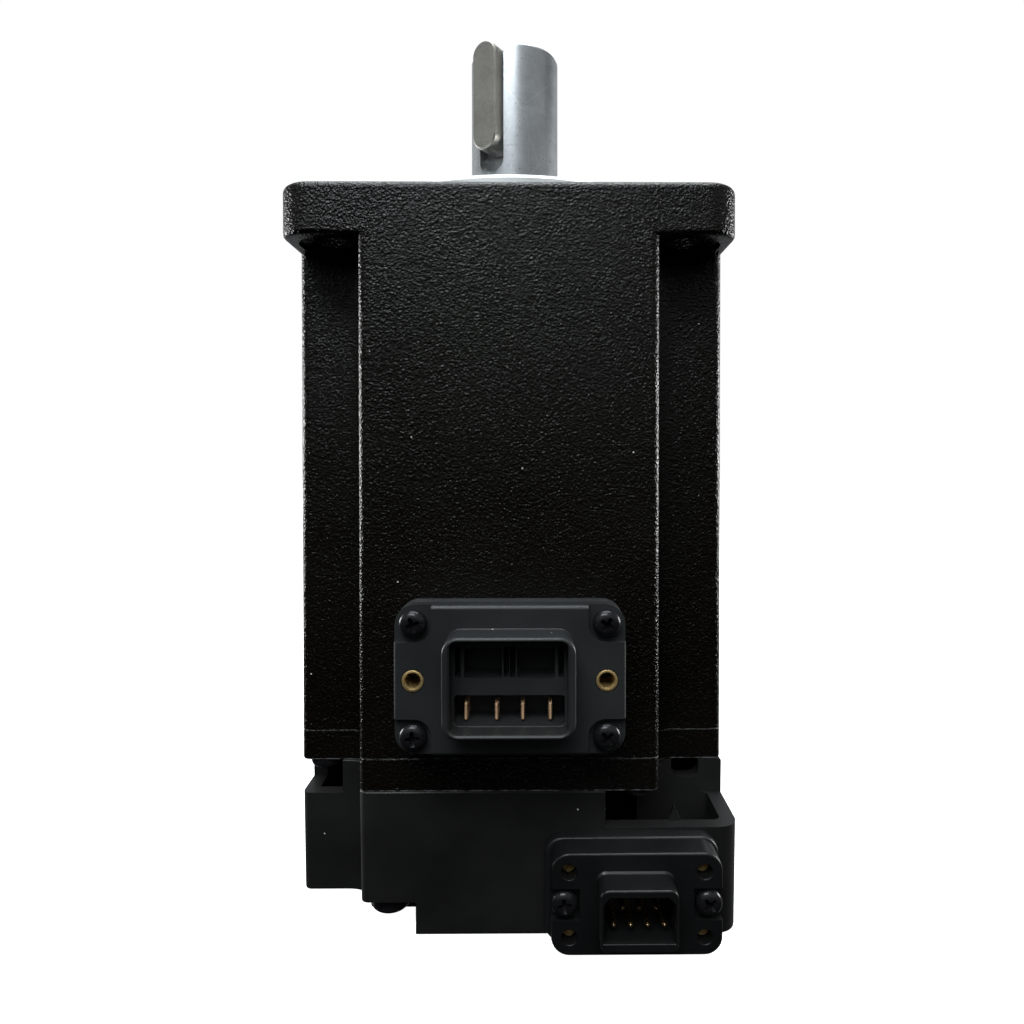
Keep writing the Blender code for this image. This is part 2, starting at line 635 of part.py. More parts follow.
def make_signal_connector():
    width, height = SIGNAL_SIZE
    screws = [(SIGNAL_X + side * 0.01185, SIGNAL_Z) for side in (-1, 1)]
    pad = rectangle(SIGNAL_X - 0.0002, PAD_Z, *PAD_SIZE, 0.0028)
    ways = [circle(x, z, 0.0014, 8) for x, z in screws]
    port = rectangle(SIGNAL_X, SIGNAL_Z, 0.0120, 0.0080)
    outlines = [pad, port, *ways]
    extruded("encoder_connector_base", outlines, REACH + GAP, PAD_FACE, BLACK_PLASTIC, "front")

    rim = rectangle(SIGNAL_X, SIGNAL_Z, width, height, 0.0028)
    body = extruded("encoder_connector", [rim], PAD_FACE + GAP, SIGNAL_FACE, BLACK_PLASTIC, "front")
    shell = rectangle(SIGNAL_SHELL_X, SIGNAL_SHELL_Z, *SIGNAL_SHELL, 0.0014)
    root = SIGNAL_FACE - 0.001
    join(body, extruded("signal shell", [shell], root, SIGNAL_RIM, BLACK_PLASTIC, "front"))
    tongue = rectangle(SIGNAL_X, SIGNAL_Z, 0.0112, 0.0072)
    join(body, extruded("signal tongue", [tongue], 0.0368, PAD_FACE + 0.001, BLACK_PLASTIC, "front"))
    left, right = SIGNAL_SHELL_X - 0.0056, SIGNAL_SHELL_X + 0.0056
    low, shoulder, high = 0.00665, 0.0127, 0.0138
    mouth = [
        (left, low, 0),
        (right, low, 0),
        (right, shoulder, 0),
        (right - 0.0011, high, 0),
        (left + 0.0011, high, 0),
        (left, shoulder, 0),
    ]
    name, past = "signal mouth", SIGNAL_RIM + 0.001
    cut(body, extruded(name, [rounded(mouth)], 0.0435, past, BLACK_PLASTIC, "front"))
    for i, (x, z) in enumerate(signal_pin_places()):
        name, radius = f"signal pin way {i + 1}", SIGNAL_PIN_RADIUS + GAP
        cut(body, front_cylinder(name, radius, 0.036, 0.045, BLACK_PLASTIC, x, z, 6))
        name = f"encoder_pin_{i + 1}"
        front_cylinder(name, SIGNAL_PIN_RADIUS, 0.0362, SIGNAL_PIN_TIP, GOLD, x, z, 6)
    for i, (x, z) in enumerate(screws):
        side = -1 if x < SIGNAL_X else 1
        out = SIGNAL_X + side * (width / 2 + 0.001)
        inner = x - side * 0.0025
        low = (min(out, inner), -SIGNAL_FACE - 0.001, z - 0.0026)
        high = (max(out, inner), -SIGNAL_FACE + SIGNAL_POCKET, z + 0.0026)
        cut(body, box(f"signal screw pocket {i + 1}", low, high, BLACK_PLASTIC))
        name = f"signal screw way {i + 1}"
        cut(body, front_cylinder(name, 0.0014, 0.041, 0.047, BLACK_PLASTIC, x, z, 8))
    for i, (x, z) in enumerate(signal_insert_places()):
        name = f"signal insert seat {i + 1}"
        cut(body, front_cylinder(name, 0.00135, 0.0432, 0.049, BLACK_PLASTIC, x, z, 12))
        profile = [(0.00105, 0.0466), (0.00105, 0.0435), (0.0007, 0.0435), (0.0007, 0.0466)]
        turned(f"encoder_insert_{i + 1}", profile, BRASS, 12, (x, 0, z), (math.pi / 2, 0, 0))
    mesh = screw_mesh("signal screw", 0.0022, 0.0019, 0.0011, 0.0078)
    for i, (x, z) in enumerate(screws):
        where = (x, -(SIGNAL_FACE - SIGNAL_POCKET + GAP), z)
        placed(f"encoder_screw_{i + 1}", mesh, BLACK_STEEL, where, (math.pi / 2, 0, 0))


def make_stator():
    core = []
    pitch = math.tau / SLOTS
    for i in range(SLOTS):
        middle = i * pitch
        for turn, radius in (
            (-0.36, TOOTH_RADIUS),
            (-0.12, TOOTH_RADIUS),
            (0.12, TOOTH_RADIUS),
            (0.36, TOOTH_RADIUS),
            (0.36, TOOTH_RADIUS + 0.0012),
            (0.20, TOOTH_RADIUS + 0.0030),
            (0.16, SLOT_RADIUS),
            (0.84, SLOT_RADIUS),
            (0.80, TOOTH_RADIUS + 0.0030),
            (0.64, TOOTH_RADIUS + 0.0012),
        ):
            angle = middle + turn * pitch
            core.append(Vector((radius * math.cos(angle), radius * math.sin(angle))))
    outside = circle(0, 0, STATOR_RADIUS, 36)
    extruded("stator_core", [outside, core], STACK_BOTTOM, STACK_TOP, ELECTRICAL_STEEL)
    windings = ring("stator_windings", 0.0248, 0.0302, STACK_TOP + GAP, STACK_TOP + 0.0067, COPPER, 24)
    lower = ring("rear end turns", 0.0248, 0.0302, STACK_BOTTOM - 0.0067, STACK_BOTTOM - GAP, COPPER, 24)
    join(windings, lower)
    for i in range(SLOTS):
        angle = (i + 0.5) * pitch
        name = f"slot conductors {i + 1}"
        low, high = STACK_BOTTOM - 0.002, STACK_TOP + 0.002
        bar = box(name, (-0.0022, -0.0026, low), (0.0022, 0.0026, high), COPPER)
        bar.location.x = 0.0276 * math.cos(angle)
        bar.location.y = 0.0276 * math.sin(angle)
        bar.rotation_euler.z = angle
        join(windings, bar)


def make_rotor():
    profile = [
        (0, SHAFT_TIP),
        (SHAFT_RADIUS - 0.0006, SHAFT_TIP),
        (SHAFT_RADIUS, SHAFT_TIP - 0.0006),
        (SHAFT_RADIUS, 0.1270),
        (0.0100, 0.1270),
        (0.0100, 0.1120),
        (0.0120, 0.1120),
        (0.0120, 0.0420),
        (0.0095, 0.0420),
        (0.0095, 0.0360),
        (0.0075, 0.0360),
        (0.0075, 0.0225),
        (0.0040, 0.0225),
        (0.0040, 0.0110),
        (0, 0.0110),
    ]
    shaft = turned("shaft", profile, STEEL, 32)
    facing = Matrix.Rotation(KEY_TURN, 3, "Z")
    keyway_floor = SHAFT_RADIUS - KEYWAY_DEPTH
    middle = (KEYWAY_BOTTOM + SHAFT_TIP + 0.002) / 2
    height = SHAFT_TIP + 0.002 - KEYWAY_BOTTOM + KEY_WIDTH / 2
    slot = rectangle(0, middle + KEY_WIDTH / 4, KEY_WIDTH, height, KEY_WIDTH / 2 - 0.00001, 6)
    keyway = extruded("keyway", [slot], 0, 0.006, STEEL)
    keyway.rotation_euler = (math.pi / 2, 0, KEY_TURN + math.pi / 2)
    keyway.location = facing @ Vector((keyway_floor + 0.003, 0, 0))
    cut(shaft, keyway)
    hole = cylinder("tapped end hole", 0.0025, SHAFT_TIP - 0.016, SHAFT_TIP + 0.001, STEEL, 16)
    cut(shaft, hole)
    key_outline = rectangle(0, 0, KEY_WIDTH - 2 * GAP, KEY_LENGTH, KEY_WIDTH / 2 - GAP - 0.00001, 5)
    key = extruded("shaft_key", [key_outline], 0, KEY_HEIGHT - GAP, DARK_STEEL)
    key.rotation_euler = (math.pi / 2, 0, KEY_TURN + math.pi / 2)
    reach = keyway_floor + GAP + (KEY_HEIGHT - GAP) / 2
    key.location = facing @ Vector((reach, 0, 0)) + Vector((0, 0, SHAFT_TIP - 0.0003 - KEY_LENGTH / 2))
    low, high = STACK_BOTTOM, STACK_TOP
    ring("rotor_core", 0.0120 + GAP, ROTOR_CORE_RADIUS, low, high, ELECTRICAL_STEEL, 24)
    ring("magnet_ring", ROTOR_CORE_RADIUS + GAP, MAGNET_RADIUS, low, high, MAGNET, 32)


def make_encoder():
    ring("encoder_hub", 0.0040 + GAP, 0.0070, 0.0140, 0.0204, STEEL, 24)
    ring("encoder_disc", 0.0070 + GAP, 0.0160, 0.0172, 0.0182, GLASS_DISC, 32)
    holes = [circle(side * 0.03125, 0, 0.0013, 10) for side in (-1, 1)]
    board = [circle(0, 0, 0.0325, 36), circle(0, 0, 0.0060, 20), *holes]
    extruded("encoder_board", board, 0.0114, 0.0130, BOARD_GREEN)
    box("encoder_read_head", (-0.0045, 0.0100, 0.0133), (0.0045, 0.0180, 0.0165), BLACK_PLASTIC)
    mesh = screw_mesh("board screw", 0.0019, 0.0013, 0.0009, 0.0080, recessed=False)
    for i, side in enumerate((-1, 1)):
        where = (side * 0.03125, 0, 0.0111)
        placed(f"encoder_board_screw_{i + 1}", mesh, BLACK_STEEL, where, (math.pi, 0, 0))


def make_fasteners():
    mesh = screw_mesh("bell screw", 0.0030, 0.0021, 0.0020, 0.0160, recessed=False)
    for i, (x, y) in enumerate(pinwheel(BELL_SCREW_OUT, BELL_SCREW_ASIDE)):
        where = (x, y, COVER_TOP - GAP)
        placed(f"end_bell_screw_{i + 1}", mesh, BLACK_STEEL, where, (math.pi, 0, 0))
    mesh = screw_mesh("cover screw", 0.0033, 0.0034, 0.0015, 0.0230)
    for i, side in enumerate((-1, 1)):
        where = (side * COVER_SCREW_X, side * COVER_SCREW_Y, NOTCH_CEILING - GAP)
        placed(f"cover_screw_{i + 1}", mesh, BLACK_STEEL, where, (math.pi, 0, 0))


def make_seal_and_washer():
    _, _, _, high = FRONT_BEARING
    profile = [
        (0.0157, PILOT_FACE - 0.0006),
        (0.0157, high + 0.0013),
        (0.0128, high + 0.0013),
        (0.0128, high + 0.0030),
        (SHAFT_RADIUS + GAP, high + 0.0030),
        (SHAFT_RADIUS + GAP, PILOT_FACE - 0.0012),
        (0.0110, PILOT_FACE - 0.0006),
    ]
    turned("shaft_seal", profile, DARK_RUBBER, 28)
    _, seat, low, _ = REAR_BEARING
    ring("wave_washer", 0.0135, seat - 0.0004, low - 0.0005, low - 0.0002, STEEL, 24)


def make_leads():
    knots = [
        (POWER_X, -0.0352, 0.0485),
        (POWER_X, -0.0318, 0.0485),
        (POWER_X, -0.0288, 0.0495),
        (POWER_X, -0.0278, 0.0520),
    ]
    tube("power_lead_bundle", smooth_route(knots), 0.0018, DARK_RUBBER)
    knots = [
        (SIGNAL_X, -0.0358, 0.0098),
        (SIGNAL_X, -0.0320, 0.0090),
        (SIGNAL_X - 0.0005, -0.0270, 0.0080),
        (SIGNAL_X - 0.0012, -0.0235, 0.0084),
        (SIGNAL_X - 0.0014, -0.0224, 0.0102),
    ]
    tube("encoder_lead_bundle", smooth_route(knots), 0.0011, DARK_RUBBER)


make_housing()
make_end_bell()
make_cover()
make_power_connector()
make_signal_connector()
make_stator()
make_rotor()
bearing("front_bearing", FRONT_BEARING, 8)
bearing("rear_bearing", REAR_BEARING, 7)
make_encoder()
make_fasteners()
make_seal_and_washer()
make_leads()
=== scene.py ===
"""The looks of an 80 mm frame servo motor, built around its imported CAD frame.

Lengths are in metres and every piece is built where it belongs in the CAD's frame: origin on
the shaft's axis at the encoder cover's rear face, +Z along the shaft, connectors facing -Y.
"""

import math

import bmesh
import bpy
from mathutils import Matrix, Vector


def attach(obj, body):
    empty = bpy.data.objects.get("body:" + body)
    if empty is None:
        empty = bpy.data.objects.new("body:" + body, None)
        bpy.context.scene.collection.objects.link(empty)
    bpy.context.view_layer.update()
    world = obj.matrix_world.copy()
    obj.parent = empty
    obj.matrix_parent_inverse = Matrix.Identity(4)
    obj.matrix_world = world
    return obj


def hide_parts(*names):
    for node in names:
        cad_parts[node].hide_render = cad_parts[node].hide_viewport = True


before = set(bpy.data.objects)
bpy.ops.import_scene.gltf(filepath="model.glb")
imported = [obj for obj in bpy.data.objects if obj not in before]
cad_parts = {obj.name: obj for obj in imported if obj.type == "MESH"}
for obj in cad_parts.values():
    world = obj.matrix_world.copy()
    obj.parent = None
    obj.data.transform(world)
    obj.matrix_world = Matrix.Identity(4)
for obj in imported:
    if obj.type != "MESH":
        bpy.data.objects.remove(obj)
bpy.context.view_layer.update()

# Main faces and sections, as in the CAD.
COVER_TOP = 0.0252
BELL_TOP = 0.0308
FLANGE_UNDERSIDE = 0.1210
FLANGE_FACE = 0.1302
PILOT_FACE = 0.1332
SHAFT_TIP = 0.1702
GAP = 0.0003
REACH = 0.0400
ARM_HALF = 0.0260
EDGE_RADIUS = 0.0016
RECESS_RADIUS = 0.0050
FLANGE_RADIUS = 0.0055
PILOT_RADIUS = 0.0350
BOLT_OFFSET = 0.0450 / math.sqrt(2)
SHAFT_RADIUS = 0.0095
KEY_TURN = math.radians(-121.5)
KEY_LENGTH = 0.0225
KEYWAY_WIDTH, KEYWAY_FLOOR = 0.0060, 0.0060
KEY_WIDTH, KEY_FACE = 0.0058, 0.0120
KEYWAY_BOTTOM = SHAFT_TIP - 0.0272
COVER_WALL = 0.0028
WINDOW_SILL = 0.0188
BELL_SCREW_OUT = 0.0359
BELL_SCREW_ASIDE = 0.0228
COVER_SCREW = (0.0213, 0.0352)
COVER_FLOOR = 0.0030
NOTCH_CEILING = 0.0058
BOLT_HOLE_RADIUS = 0.0033
SPOTFACE_RADIUS, SPOTFACE_DEPTH = 0.0062, 0.0006
POWER_X, POWER_Z = 0.0004, 0.0467
POWER_FACE = 0.0482
POWER_PLATE = (0.0376, 0.0244)
POWER_SHELL_Z, POWER_SHELL = 0.04715, (0.0208, 0.0159)
POWER_MOUTH_Z, POWER_MOUTH = 0.0472, (0.0184, 0.0145)
POWER_CAVITY_BACK = 0.0440
POWER_POCKET = 0.0012
POWER_SCREW_OUT, POWER_SCREW_UP = 0.0157, 0.0092
POWER_RIM = 0.0542
POWER_FLOOR = 0.0500
POWER_BLADE_Z = 0.04215
POWER_PINS_X = (-0.0070, -0.0021, 0.0021, 0.0065)
SIGNAL_X, SIGNAL_Z = 0.0211, 0.0098
PAD_FACE = 0.0424
PAD_Z, PAD_SIZE = 0.0093, (0.0296, 0.0180)
SIGNAL_PLATE = (0.0281, 0.0168)
SIGNAL_FACE = 0.0475
SIGNAL_SHELL_X = 0.02085
SIGNAL_SHELL_Z, SIGNAL_SHELL = 0.01005, (0.0124, 0.0099)
SIGNAL_MOUTH_HALF = 0.0056
SIGNAL_MOUTH_LOW, SIGNAL_MOUTH_HIGH = 0.00665, 0.0138
SIGNAL_SCREW_OUT = 0.01185
SIGNAL_INSERT_OUT, SIGNAL_INSERT_UP = 0.0111, 0.00535
SIGNAL_RIM = 0.0526
SIGNAL_POCKET = 0.0014
SIGNAL_PIN_TIP = 0.0503
SIGNAL_PITCH = 0.00272

# Turns a shape drawn facing up so that it faces the front: (x, y, z) becomes (x, -z, y).
FRONT = Matrix.Rotation(math.pi / 2, 4, "X")


# ---------------------------------------------------------------- camera, light and floor


def make_camera():
    data = bpy.data.cameras.new("camera")
    data.sensor_width = 36.0
    data.lens = 26.715
    data.shift_x = -0.0285
    data.shift_y = -0.0463
    data.clip_start = 0.01
    camera = bpy.data.objects.new("camera", data)
    camera.location = (0.00442, -0.17037, 0.08318)
    camera.rotation_euler = (math.pi / 2 - 0.0127, 0.0003, -0.0085)
    bpy.context.scene.collection.objects.link(camera)
    bpy.context.scene.camera = camera


def make_light(name, where, towards, size, power, colour=(1.0, 1.0, 1.0), reflected=True):
    data = bpy.data.lights.new(name, "AREA")
    data.shape = "RECTANGLE"
    data.size, data.size_y = size
    data.energy = power
    data.color = colour
    light = bpy.data.objects.new(name, data)
    light.location = where
    aim = Vector(towards) - Vector(where)
    light.rotation_euler = aim.to_track_quat("-Z", "Y").to_euler()
    light.visible_glossy = reflected
    bpy.context.scene.collection.objects.link(light)


def make_world():
    """Light high up in front, grey behind and dark below; straight lines of sight see white."""
    world = bpy.data.worlds.new("studio")
    world.use_nodes = True
    nodes, links = world.node_tree.nodes, world.node_tree.links
    nodes.clear()
    out = nodes.new("ShaderNodeOutputWorld")
    where = nodes.new("ShaderNodeTexCoord")
    parts = nodes.new("ShaderNodeSeparateXYZ")

    def ramp(axis, start, end, at_start, at_end):
        node = nodes.new("ShaderNodeMapRange")
        node.interpolation_type = "SMOOTHSTEP"
        numbers = (start, end, at_start, at_end)
        for key, number in zip(("From Min", "From Max", "To Min", "To Max"), numbers):
            node.inputs[key].default_value = number
        links.new(parts.outputs[axis], node.inputs["Value"])
        return node.outputs["Result"]

    high = nodes.new("ShaderNodeMath")
    high.operation = "MULTIPLY_ADD"
    links.new(ramp("Z", 0.04, 0.36, 0.008, 0.34), high.inputs[0])
    links.new(ramp("Y", -0.15, 0.12, 1.0, 0.30), high.inputs[1])
    links.new(ramp("Y", 0.30, 0.65, 0.0, 0.27), high.inputs[2])
    lit = nodes.new("ShaderNodeBackground")
    lit.inputs["Color"].default_value = (0.94, 0.97, 1.0, 1.0)
    seen = nodes.new("ShaderNodeBackground")
    seen.inputs["Color"].default_value = (1.0, 1.0, 1.0, 1.0)
    rays = nodes.new("ShaderNodeLightPath")
    mix = nodes.new("ShaderNodeMixShader")
    links.new(where.outputs["Generated"], parts.inputs[0])
    links.new(high.outputs["Value"], lit.inputs["Strength"])
    links.new(rays.outputs["Is Camera Ray"], mix.inputs["Fac"])
    links.new(lit.outputs[0], mix.inputs[1])
    links.new(seen.outputs[0], mix.inputs[2])
    links.new(mix.outputs[0], out.inputs[0])
    bpy.context.scene.world = world


def make_floor():
    mesh = bpy.data.meshes.new("floor")
    work = bmesh.new()
    bmesh.ops.create_grid(work, x_segments=1, y_segments=1, size=2.5)
    work.to_mesh(mesh)
    work.free()
    floor = bpy.data.objects.new("floor", mesh)
    floor.location = (0, 0, -0.0001)
    bpy.context.scene.collection.objects.link(floor)
    paint = bpy.data.materials.new("floor_white")
    paint.use_nodes = True
    shader = paint.node_tree.nodes["Principled BSDF"]
    shader.inputs["Base Color"].default_value = (0.93, 0.93, 0.92, 1.0)
    shader.inputs["Roughness"].default_value = 0.9
    shader.inputs["Emission Color"].default_value = (1.0, 1.0, 1.0, 1.0)
    shader.inputs["Emission Strength"].default_value = 1.0
    mesh.materials.append(paint)
    floor.visible_glossy = False
    floor.visible_diffuse = False


make_camera()
make_world()
make_floor()
make_light("softbox", (-0.12, -0.40, 0.52), (0, 0, 0.13), (0.34, 0.18), 1.5, (0.90, 0.96, 1.0))
make_light("overhead", (0.0, 0.05, 0.75), (0, 0, 0.10), (0.60, 0.50), 5.0, (0.92, 0.97, 1.0))
make_light("side_left", (-0.50, 0.15, 0.11), (0, 0, 0.08), (0.22, 0.20), 1.8)
make_light("side_right", (0.50, 0.15, 0.11), (0, 0, 0.08), (0.22, 0.20), 1.8)
make_light("fill", (0.0, -0.60, 0.70), (0, 0, 0.10), (0.60, 0.60), 3.5, reflected=False)
bpy.context.scene.view_settings.view_transform = "Standard"


# ---------------------------------------------------------------------------- materials


class Nodes:
    """A short hand for building one material's node tree."""

    def __init__(self, name, colour, roughness, metallic=0.0):
        self.material = bpy.data.materials.new(name)
        self.material.use_nodes = True
        self.tree = self.material.node_tree
        self.shader = self.tree.nodes["Principled BSDF"]
        self.shader.inputs["Metallic"].default_value = metallic
        self.shader.inputs["Roughness"].default_value = roughness
        self.shader.inputs["Base Color"].default_value = (*colour, 1.0)
        coords = self.tree.nodes.new("ShaderNodeTexCoord")
        self.where = coords.outputs["Object"]

    def link(self, source, target):
        self.tree.links.new(source, target)

    def stretched(self, scale):
        mapping = self.tree.nodes.new("ShaderNodeMapping")
        mapping.inputs["Scale"].default_value = scale
        self.link(self.where, mapping.inputs["Vector"])
        return mapping.outputs["Vector"]

    def noise(self, scale, detail=2.0, roughness=0.5, distortion=0.0, where=None):
        node = self.tree.nodes.new("ShaderNodeTexNoise")
        node.inputs["Scale"].default_value = scale
        node.inputs["Detail"].default_value = detail
        node.inputs["Roughness"].default_value = roughness
        node.inputs["Distortion"].default_value = distortion
        self.link(where or self.where, node.inputs["Vector"])
        return node.outputs["Fac"]

    def cells(self, scale, feature="F1", smooth=None, where=None):
        node = self.tree.nodes.new("ShaderNodeTexVoronoi")
        node.feature = feature
        node.inputs["Scale"].default_value = scale
        if smooth is not None:
            node.inputs["Smoothness"].default_value = smooth
        self.link(where or self.where, node.inputs["Vector"])
        return node

    def ranged(self, value, low, high, to_low, to_high):
        node = self.tree.nodes.new("ShaderNodeMapRange")
        for key, number in (
            ("From Min", low), ("From Max", high), ("To Min", to_low), ("To Max", to_high)
        ):
            node.inputs[key].default_value = number
        self.link(value, node.inputs["Value"])
        return node.outputs["Result"]

    def maths(self, operation, first, second):
        node = self.tree.nodes.new("ShaderNodeMath")
        node.operation = operation
        for socket, value in zip(node.inputs, (first, second)):
            if isinstance(value, (int, float)):
                socket.default_value = value
            else:
                self.link(value, socket)
        return node.outputs["Value"]

    def mixed(self, factor, first, second):
        node = self.tree.nodes.new("ShaderNodeMix")
        node.data_type = "RGBA"
        self.link(factor, node.inputs["Factor"])
        for socket, value in ((node.inputs[6], first), (node.inputs[7], second)):
            if isinstance(value, tuple):
                socket.default_value = (*value, 1.0)
            else:
                self.link(value, socket)
        return node.outputs[2]

    def bump(self, height, distance, strength=1.0, below=None):
        node = self.tree.nodes.new("ShaderNodeBump")
        node.inputs["Strength"].default_value = strength
        node.inputs["Distance"].default_value = distance
        self.link(height, node.inputs["Height"])
        if below:
            self.link(below, node.inputs["Normal"])
        return node.outputs["Normal"]

    def colour(self, value):
        self.link(value, self.shader.inputs["Base Color"])

    def roughness(self, value):
        self.link(value, self.shader.inputs["Roughness"])

    def normal(self, value):
        self.link(value, self.shader.inputs["Normal"])

    def dust(self, base, amount=1.0):
        """Sparse pale specks of dust over the base colour, in a few of many small cells."""
        specks = self.cells(420.0)
        near = self.ranged(specks.outputs["Distance"], 0.05, 0.07, 1.0, 0.0)
        chosen = self.tree.nodes.new("ShaderNodeSeparateXYZ")
        self.link(specks.outputs["Color"], chosen.inputs[0])
        few = self.ranged(chosen.outputs["X"], 1.0 - 0.05 * amount, 1.0 - 0.04 * amount, 0.0, 0.75)
        return self.mixed(self.maths("MULTIPLY", near, few), base, (0.75, 0.75, 0.72))


def textured_paint():
    """Black paint with a coarse leather-like grain that glints."""
    m = Nodes("black_textured_paint", (0.004, 0.004, 0.0035), 0.36)
    grain = m.noise(2100.0, 1.5, 0.5, 0.9)
    pores = m.cells(2500.0, "SMOOTH_F1", 0.5)
    height = m.maths("ADD", grain, m.maths("MULTIPLY", pores.outputs["Distance"], 0.7))
    fine = m.bump(m.noise(9000.0, 2.0), 0.000004)
    m.normal(m.bump(height, 0.00014, 1.0, fine))
    m.shader.inputs["Specular IOR Level"].default_value = 0.38
    tone = m.ranged(m.noise(35.0, 3.0), 0.35, 0.7, 0.0, 1.0)
    base = m.mixed(tone, (0.0022, 0.0016, 0.0010), (0.0046, 0.0040, 0.0032))
    m.colour(m.dust(base, 1.6))
    m.roughness(m.ranged(m.noise(60.0, 3.0), 0.3, 0.75, 0.17, 0.26))
    return m.material


def worn_edge():
    """A thin line along a casting's edge where the paint has come off the metal."""
    m = Nodes("worn_casting_edge", (0.10, 0.10, 0.105), 0.45, 0.3)
    patches = m.ranged(m.noise(700.0, 3.0), 0.40, 0.62, 0.0, 1.0)
    m.colour(m.mixed(patches, (0.02, 0.02, 0.02), (0.22, 0.22, 0.23)))
    m.normal(m.bump(m.noise(4000.0, 2.0), 0.00002))
    return m.material


def moulded_plastic(name, colour, roughness, grain=0.00001, dust=1.0):
    """Black moulded plastic with a fine spark-eroded finish."""
    m = Nodes(name, colour, roughness)
    fine = m.noise(3200.0, 3.0, 0.6)
    m.normal(m.bump(fine, grain))
    tone = m.ranged(m.noise(45.0, 4.0, 0.6), 0.3, 0.75, 0.0, 1.0)
    lighter = tuple(1.45 * c + 0.002 for c in colour)
    m.colour(m.dust(m.mixed(tone, colour, lighter), dust))
    m.roughness(m.ranged(m.noise(90.0, 4.0), 0.3, 0.7, roughness - 0.06, roughness + 0.08))
    return m.material


def ground_steel(name, colour, roughness, lines=(60.0, 60.0, 9000.0)):
    """Steel ground round its axis: fine rings, soft blotches and a few light scratches."""
    m = Nodes(name, colour, roughness, 1.0)
    rings = m.noise(1.0, 3.0, 0.6, where=m.stretched(lines))
    blotch = m.noise(260.0, 4.0, 0.6)
    grit = m.noise(2600.0, 3.0, 0.6)
    scratch = m.cells(1.0, "DISTANCE_TO_EDGE", where=m.stretched((90.0, 90.0, 45.0)))
    marks = m.ranged(scratch.outputs["Distance"], 0.0, 0.006, 0.35, 0.0)
    darker = tuple(0.82 * c for c in colour)
    base = m.mixed(m.ranged(blotch, 0.35, 0.7, 0.0, 1.0), darker, colour)
    m.colour(m.mixed(marks, base, (0.85, 0.87, 0.88)))
    m.roughness(m.ranged(m.maths("ADD", rings, grit), 0.6, 1.4, roughness - 0.07, roughness + 0.10))
    m.normal(m.bump(rings, 0.000004, 1.0, m.bump(grit, 0.000002)))
    return m.material


def grained_metal(name, colour, roughness, metallic=1.0, grain=0.000006, scale=1800.0):
    m = Nodes(name, colour, roughness, metallic)
    grit = m.noise(scale, 4.0, 0.65)
    broad = m.noise(220.0, 3.0)
    darker = tuple(0.72 * c for c in colour)
    m.colour(m.mixed(m.ranged(m.maths("ADD", grit, broad), 0.75, 1.25, 0.0, 1.0), darker, colour))
    m.roughness(m.ranged(grit, 0.3, 0.7, roughness - 0.05, roughness + 0.10))
    m.normal(m.bump(grit, grain))
    return m.material


def machined_aluminium():
    """Faced aluminium with fine concentric tool marks about the Z axis."""
    m = Nodes("machined_aluminium", (0.88, 0.89, 0.89), 0.42, 0.35)
    parts = m.tree.nodes.new("ShaderNodeSeparateXYZ")
    m.link(m.where, parts.inputs[0])
    square = m.maths("MULTIPLY", parts.outputs["X"], parts.outputs["X"])
    other = m.maths("MULTIPLY", parts.outputs["Y"], parts.outputs["Y"])
    radius = m.maths("SQRT", m.maths("ADD", square, other), 0.0)
    wave = m.maths("SINE", m.maths("MULTIPLY", radius, 2 * math.pi / 0.00022), 0.0)
    m.normal(m.bump(wave, 0.0000016, 1.0, m.bump(m.noise(1500.0, 3.0), 0.000002)))
    tone = m.ranged(m.noise(120.0, 4.0), 0.3, 0.7, 0.0, 1.0)
    m.colour(m.mixed(tone, (0.54, 0.56, 0.56), (0.64, 0.65, 0.65)))
    m.roughness(m.ranged(m.noise(300.0, 3.0), 0.3, 0.7, 0.36, 0.50))
    return m.material


def circuit_board():
    m = Nodes("circuit_board_dark", (0.003, 0.014, 0.007), 0.4)
    tracks = m.cells(350.0, "DISTANCE_TO_EDGE")
    line = m.ranged(tracks.outputs["Distance"], 0.04, 0.06, 1.0, 0.0)
    m.colour(m.mixed(line, (0.003, 0.014, 0.007), (0.008, 0.035, 0.016)))
    m.normal(m.bump(line, 0.00002))
    return m.material


def laminated_steel():
    m = Nodes("laminated_steel", (0.33, 0.33, 0.34), 0.45, 1.0)
    sheets = m.noise(1.0, 1.0, where=m.stretched((5.0, 5.0, 2000.0)))
    m.colour(m.mixed(m.ranged(sheets, 0.3, 0.7, 0.0, 1.0), (0.22, 0.22, 0.23), (0.42, 0.42, 0.43)))
    m.normal(m.bump(sheets, 0.00002))
    return m.material


PAINT = textured_paint()
EDGE = worn_edge()
COVER_PLASTIC = moulded_plastic("cover_plastic", (0.0075, 0.0075, 0.0075), 0.46)
PLUG_PLASTIC = moulded_plastic("power_plug_plastic", (0.0170, 0.0190, 0.0195), 0.40, 0.000008)
SIGNAL_PLASTIC = moulded_plastic("encoder_plug_plastic", (0.0040, 0.0043, 0.0045), 0.36, 0.000008)
PAD_PLASTIC = moulded_plastic("pad_plastic", (0.0050, 0.0055, 0.0060), 0.44, 0.000008)
RUBBER = moulded_plastic("dark_rubber_grain", (0.0060, 0.0060, 0.0060), 0.62, 0.00002, 0.4)
STEEL = ground_steel("ground_steel_bright", (0.62, 0.65, 0.67), 0.31)
BEARING_STEEL = ground_steel("bearing_steel_ground", (0.58, 0.59, 0.61), 0.20)
KEY_STEEL = grained_metal("key_steel_dull", (0.42, 0.41, 0.37), 0.46)
SCREW_STEEL = grained_metal("screw_black_oxide", (0.012, 0.012, 0.014), 0.20, 0.2, 0.000002)
ALUMINIUM = machined_aluminium()
BRASS = grained_metal("brass_turned", (0.80, 0.58, 0.26), 0.36, 0.75)
GOLD = grained_metal("gold_plated", (0.90, 0.66, 0.36), 0.24, 1.0, 0.000002)
COPPER = grained_metal("copper_blade", (0.98, 0.64, 0.38), 0.40, 0.45, 0.000003)
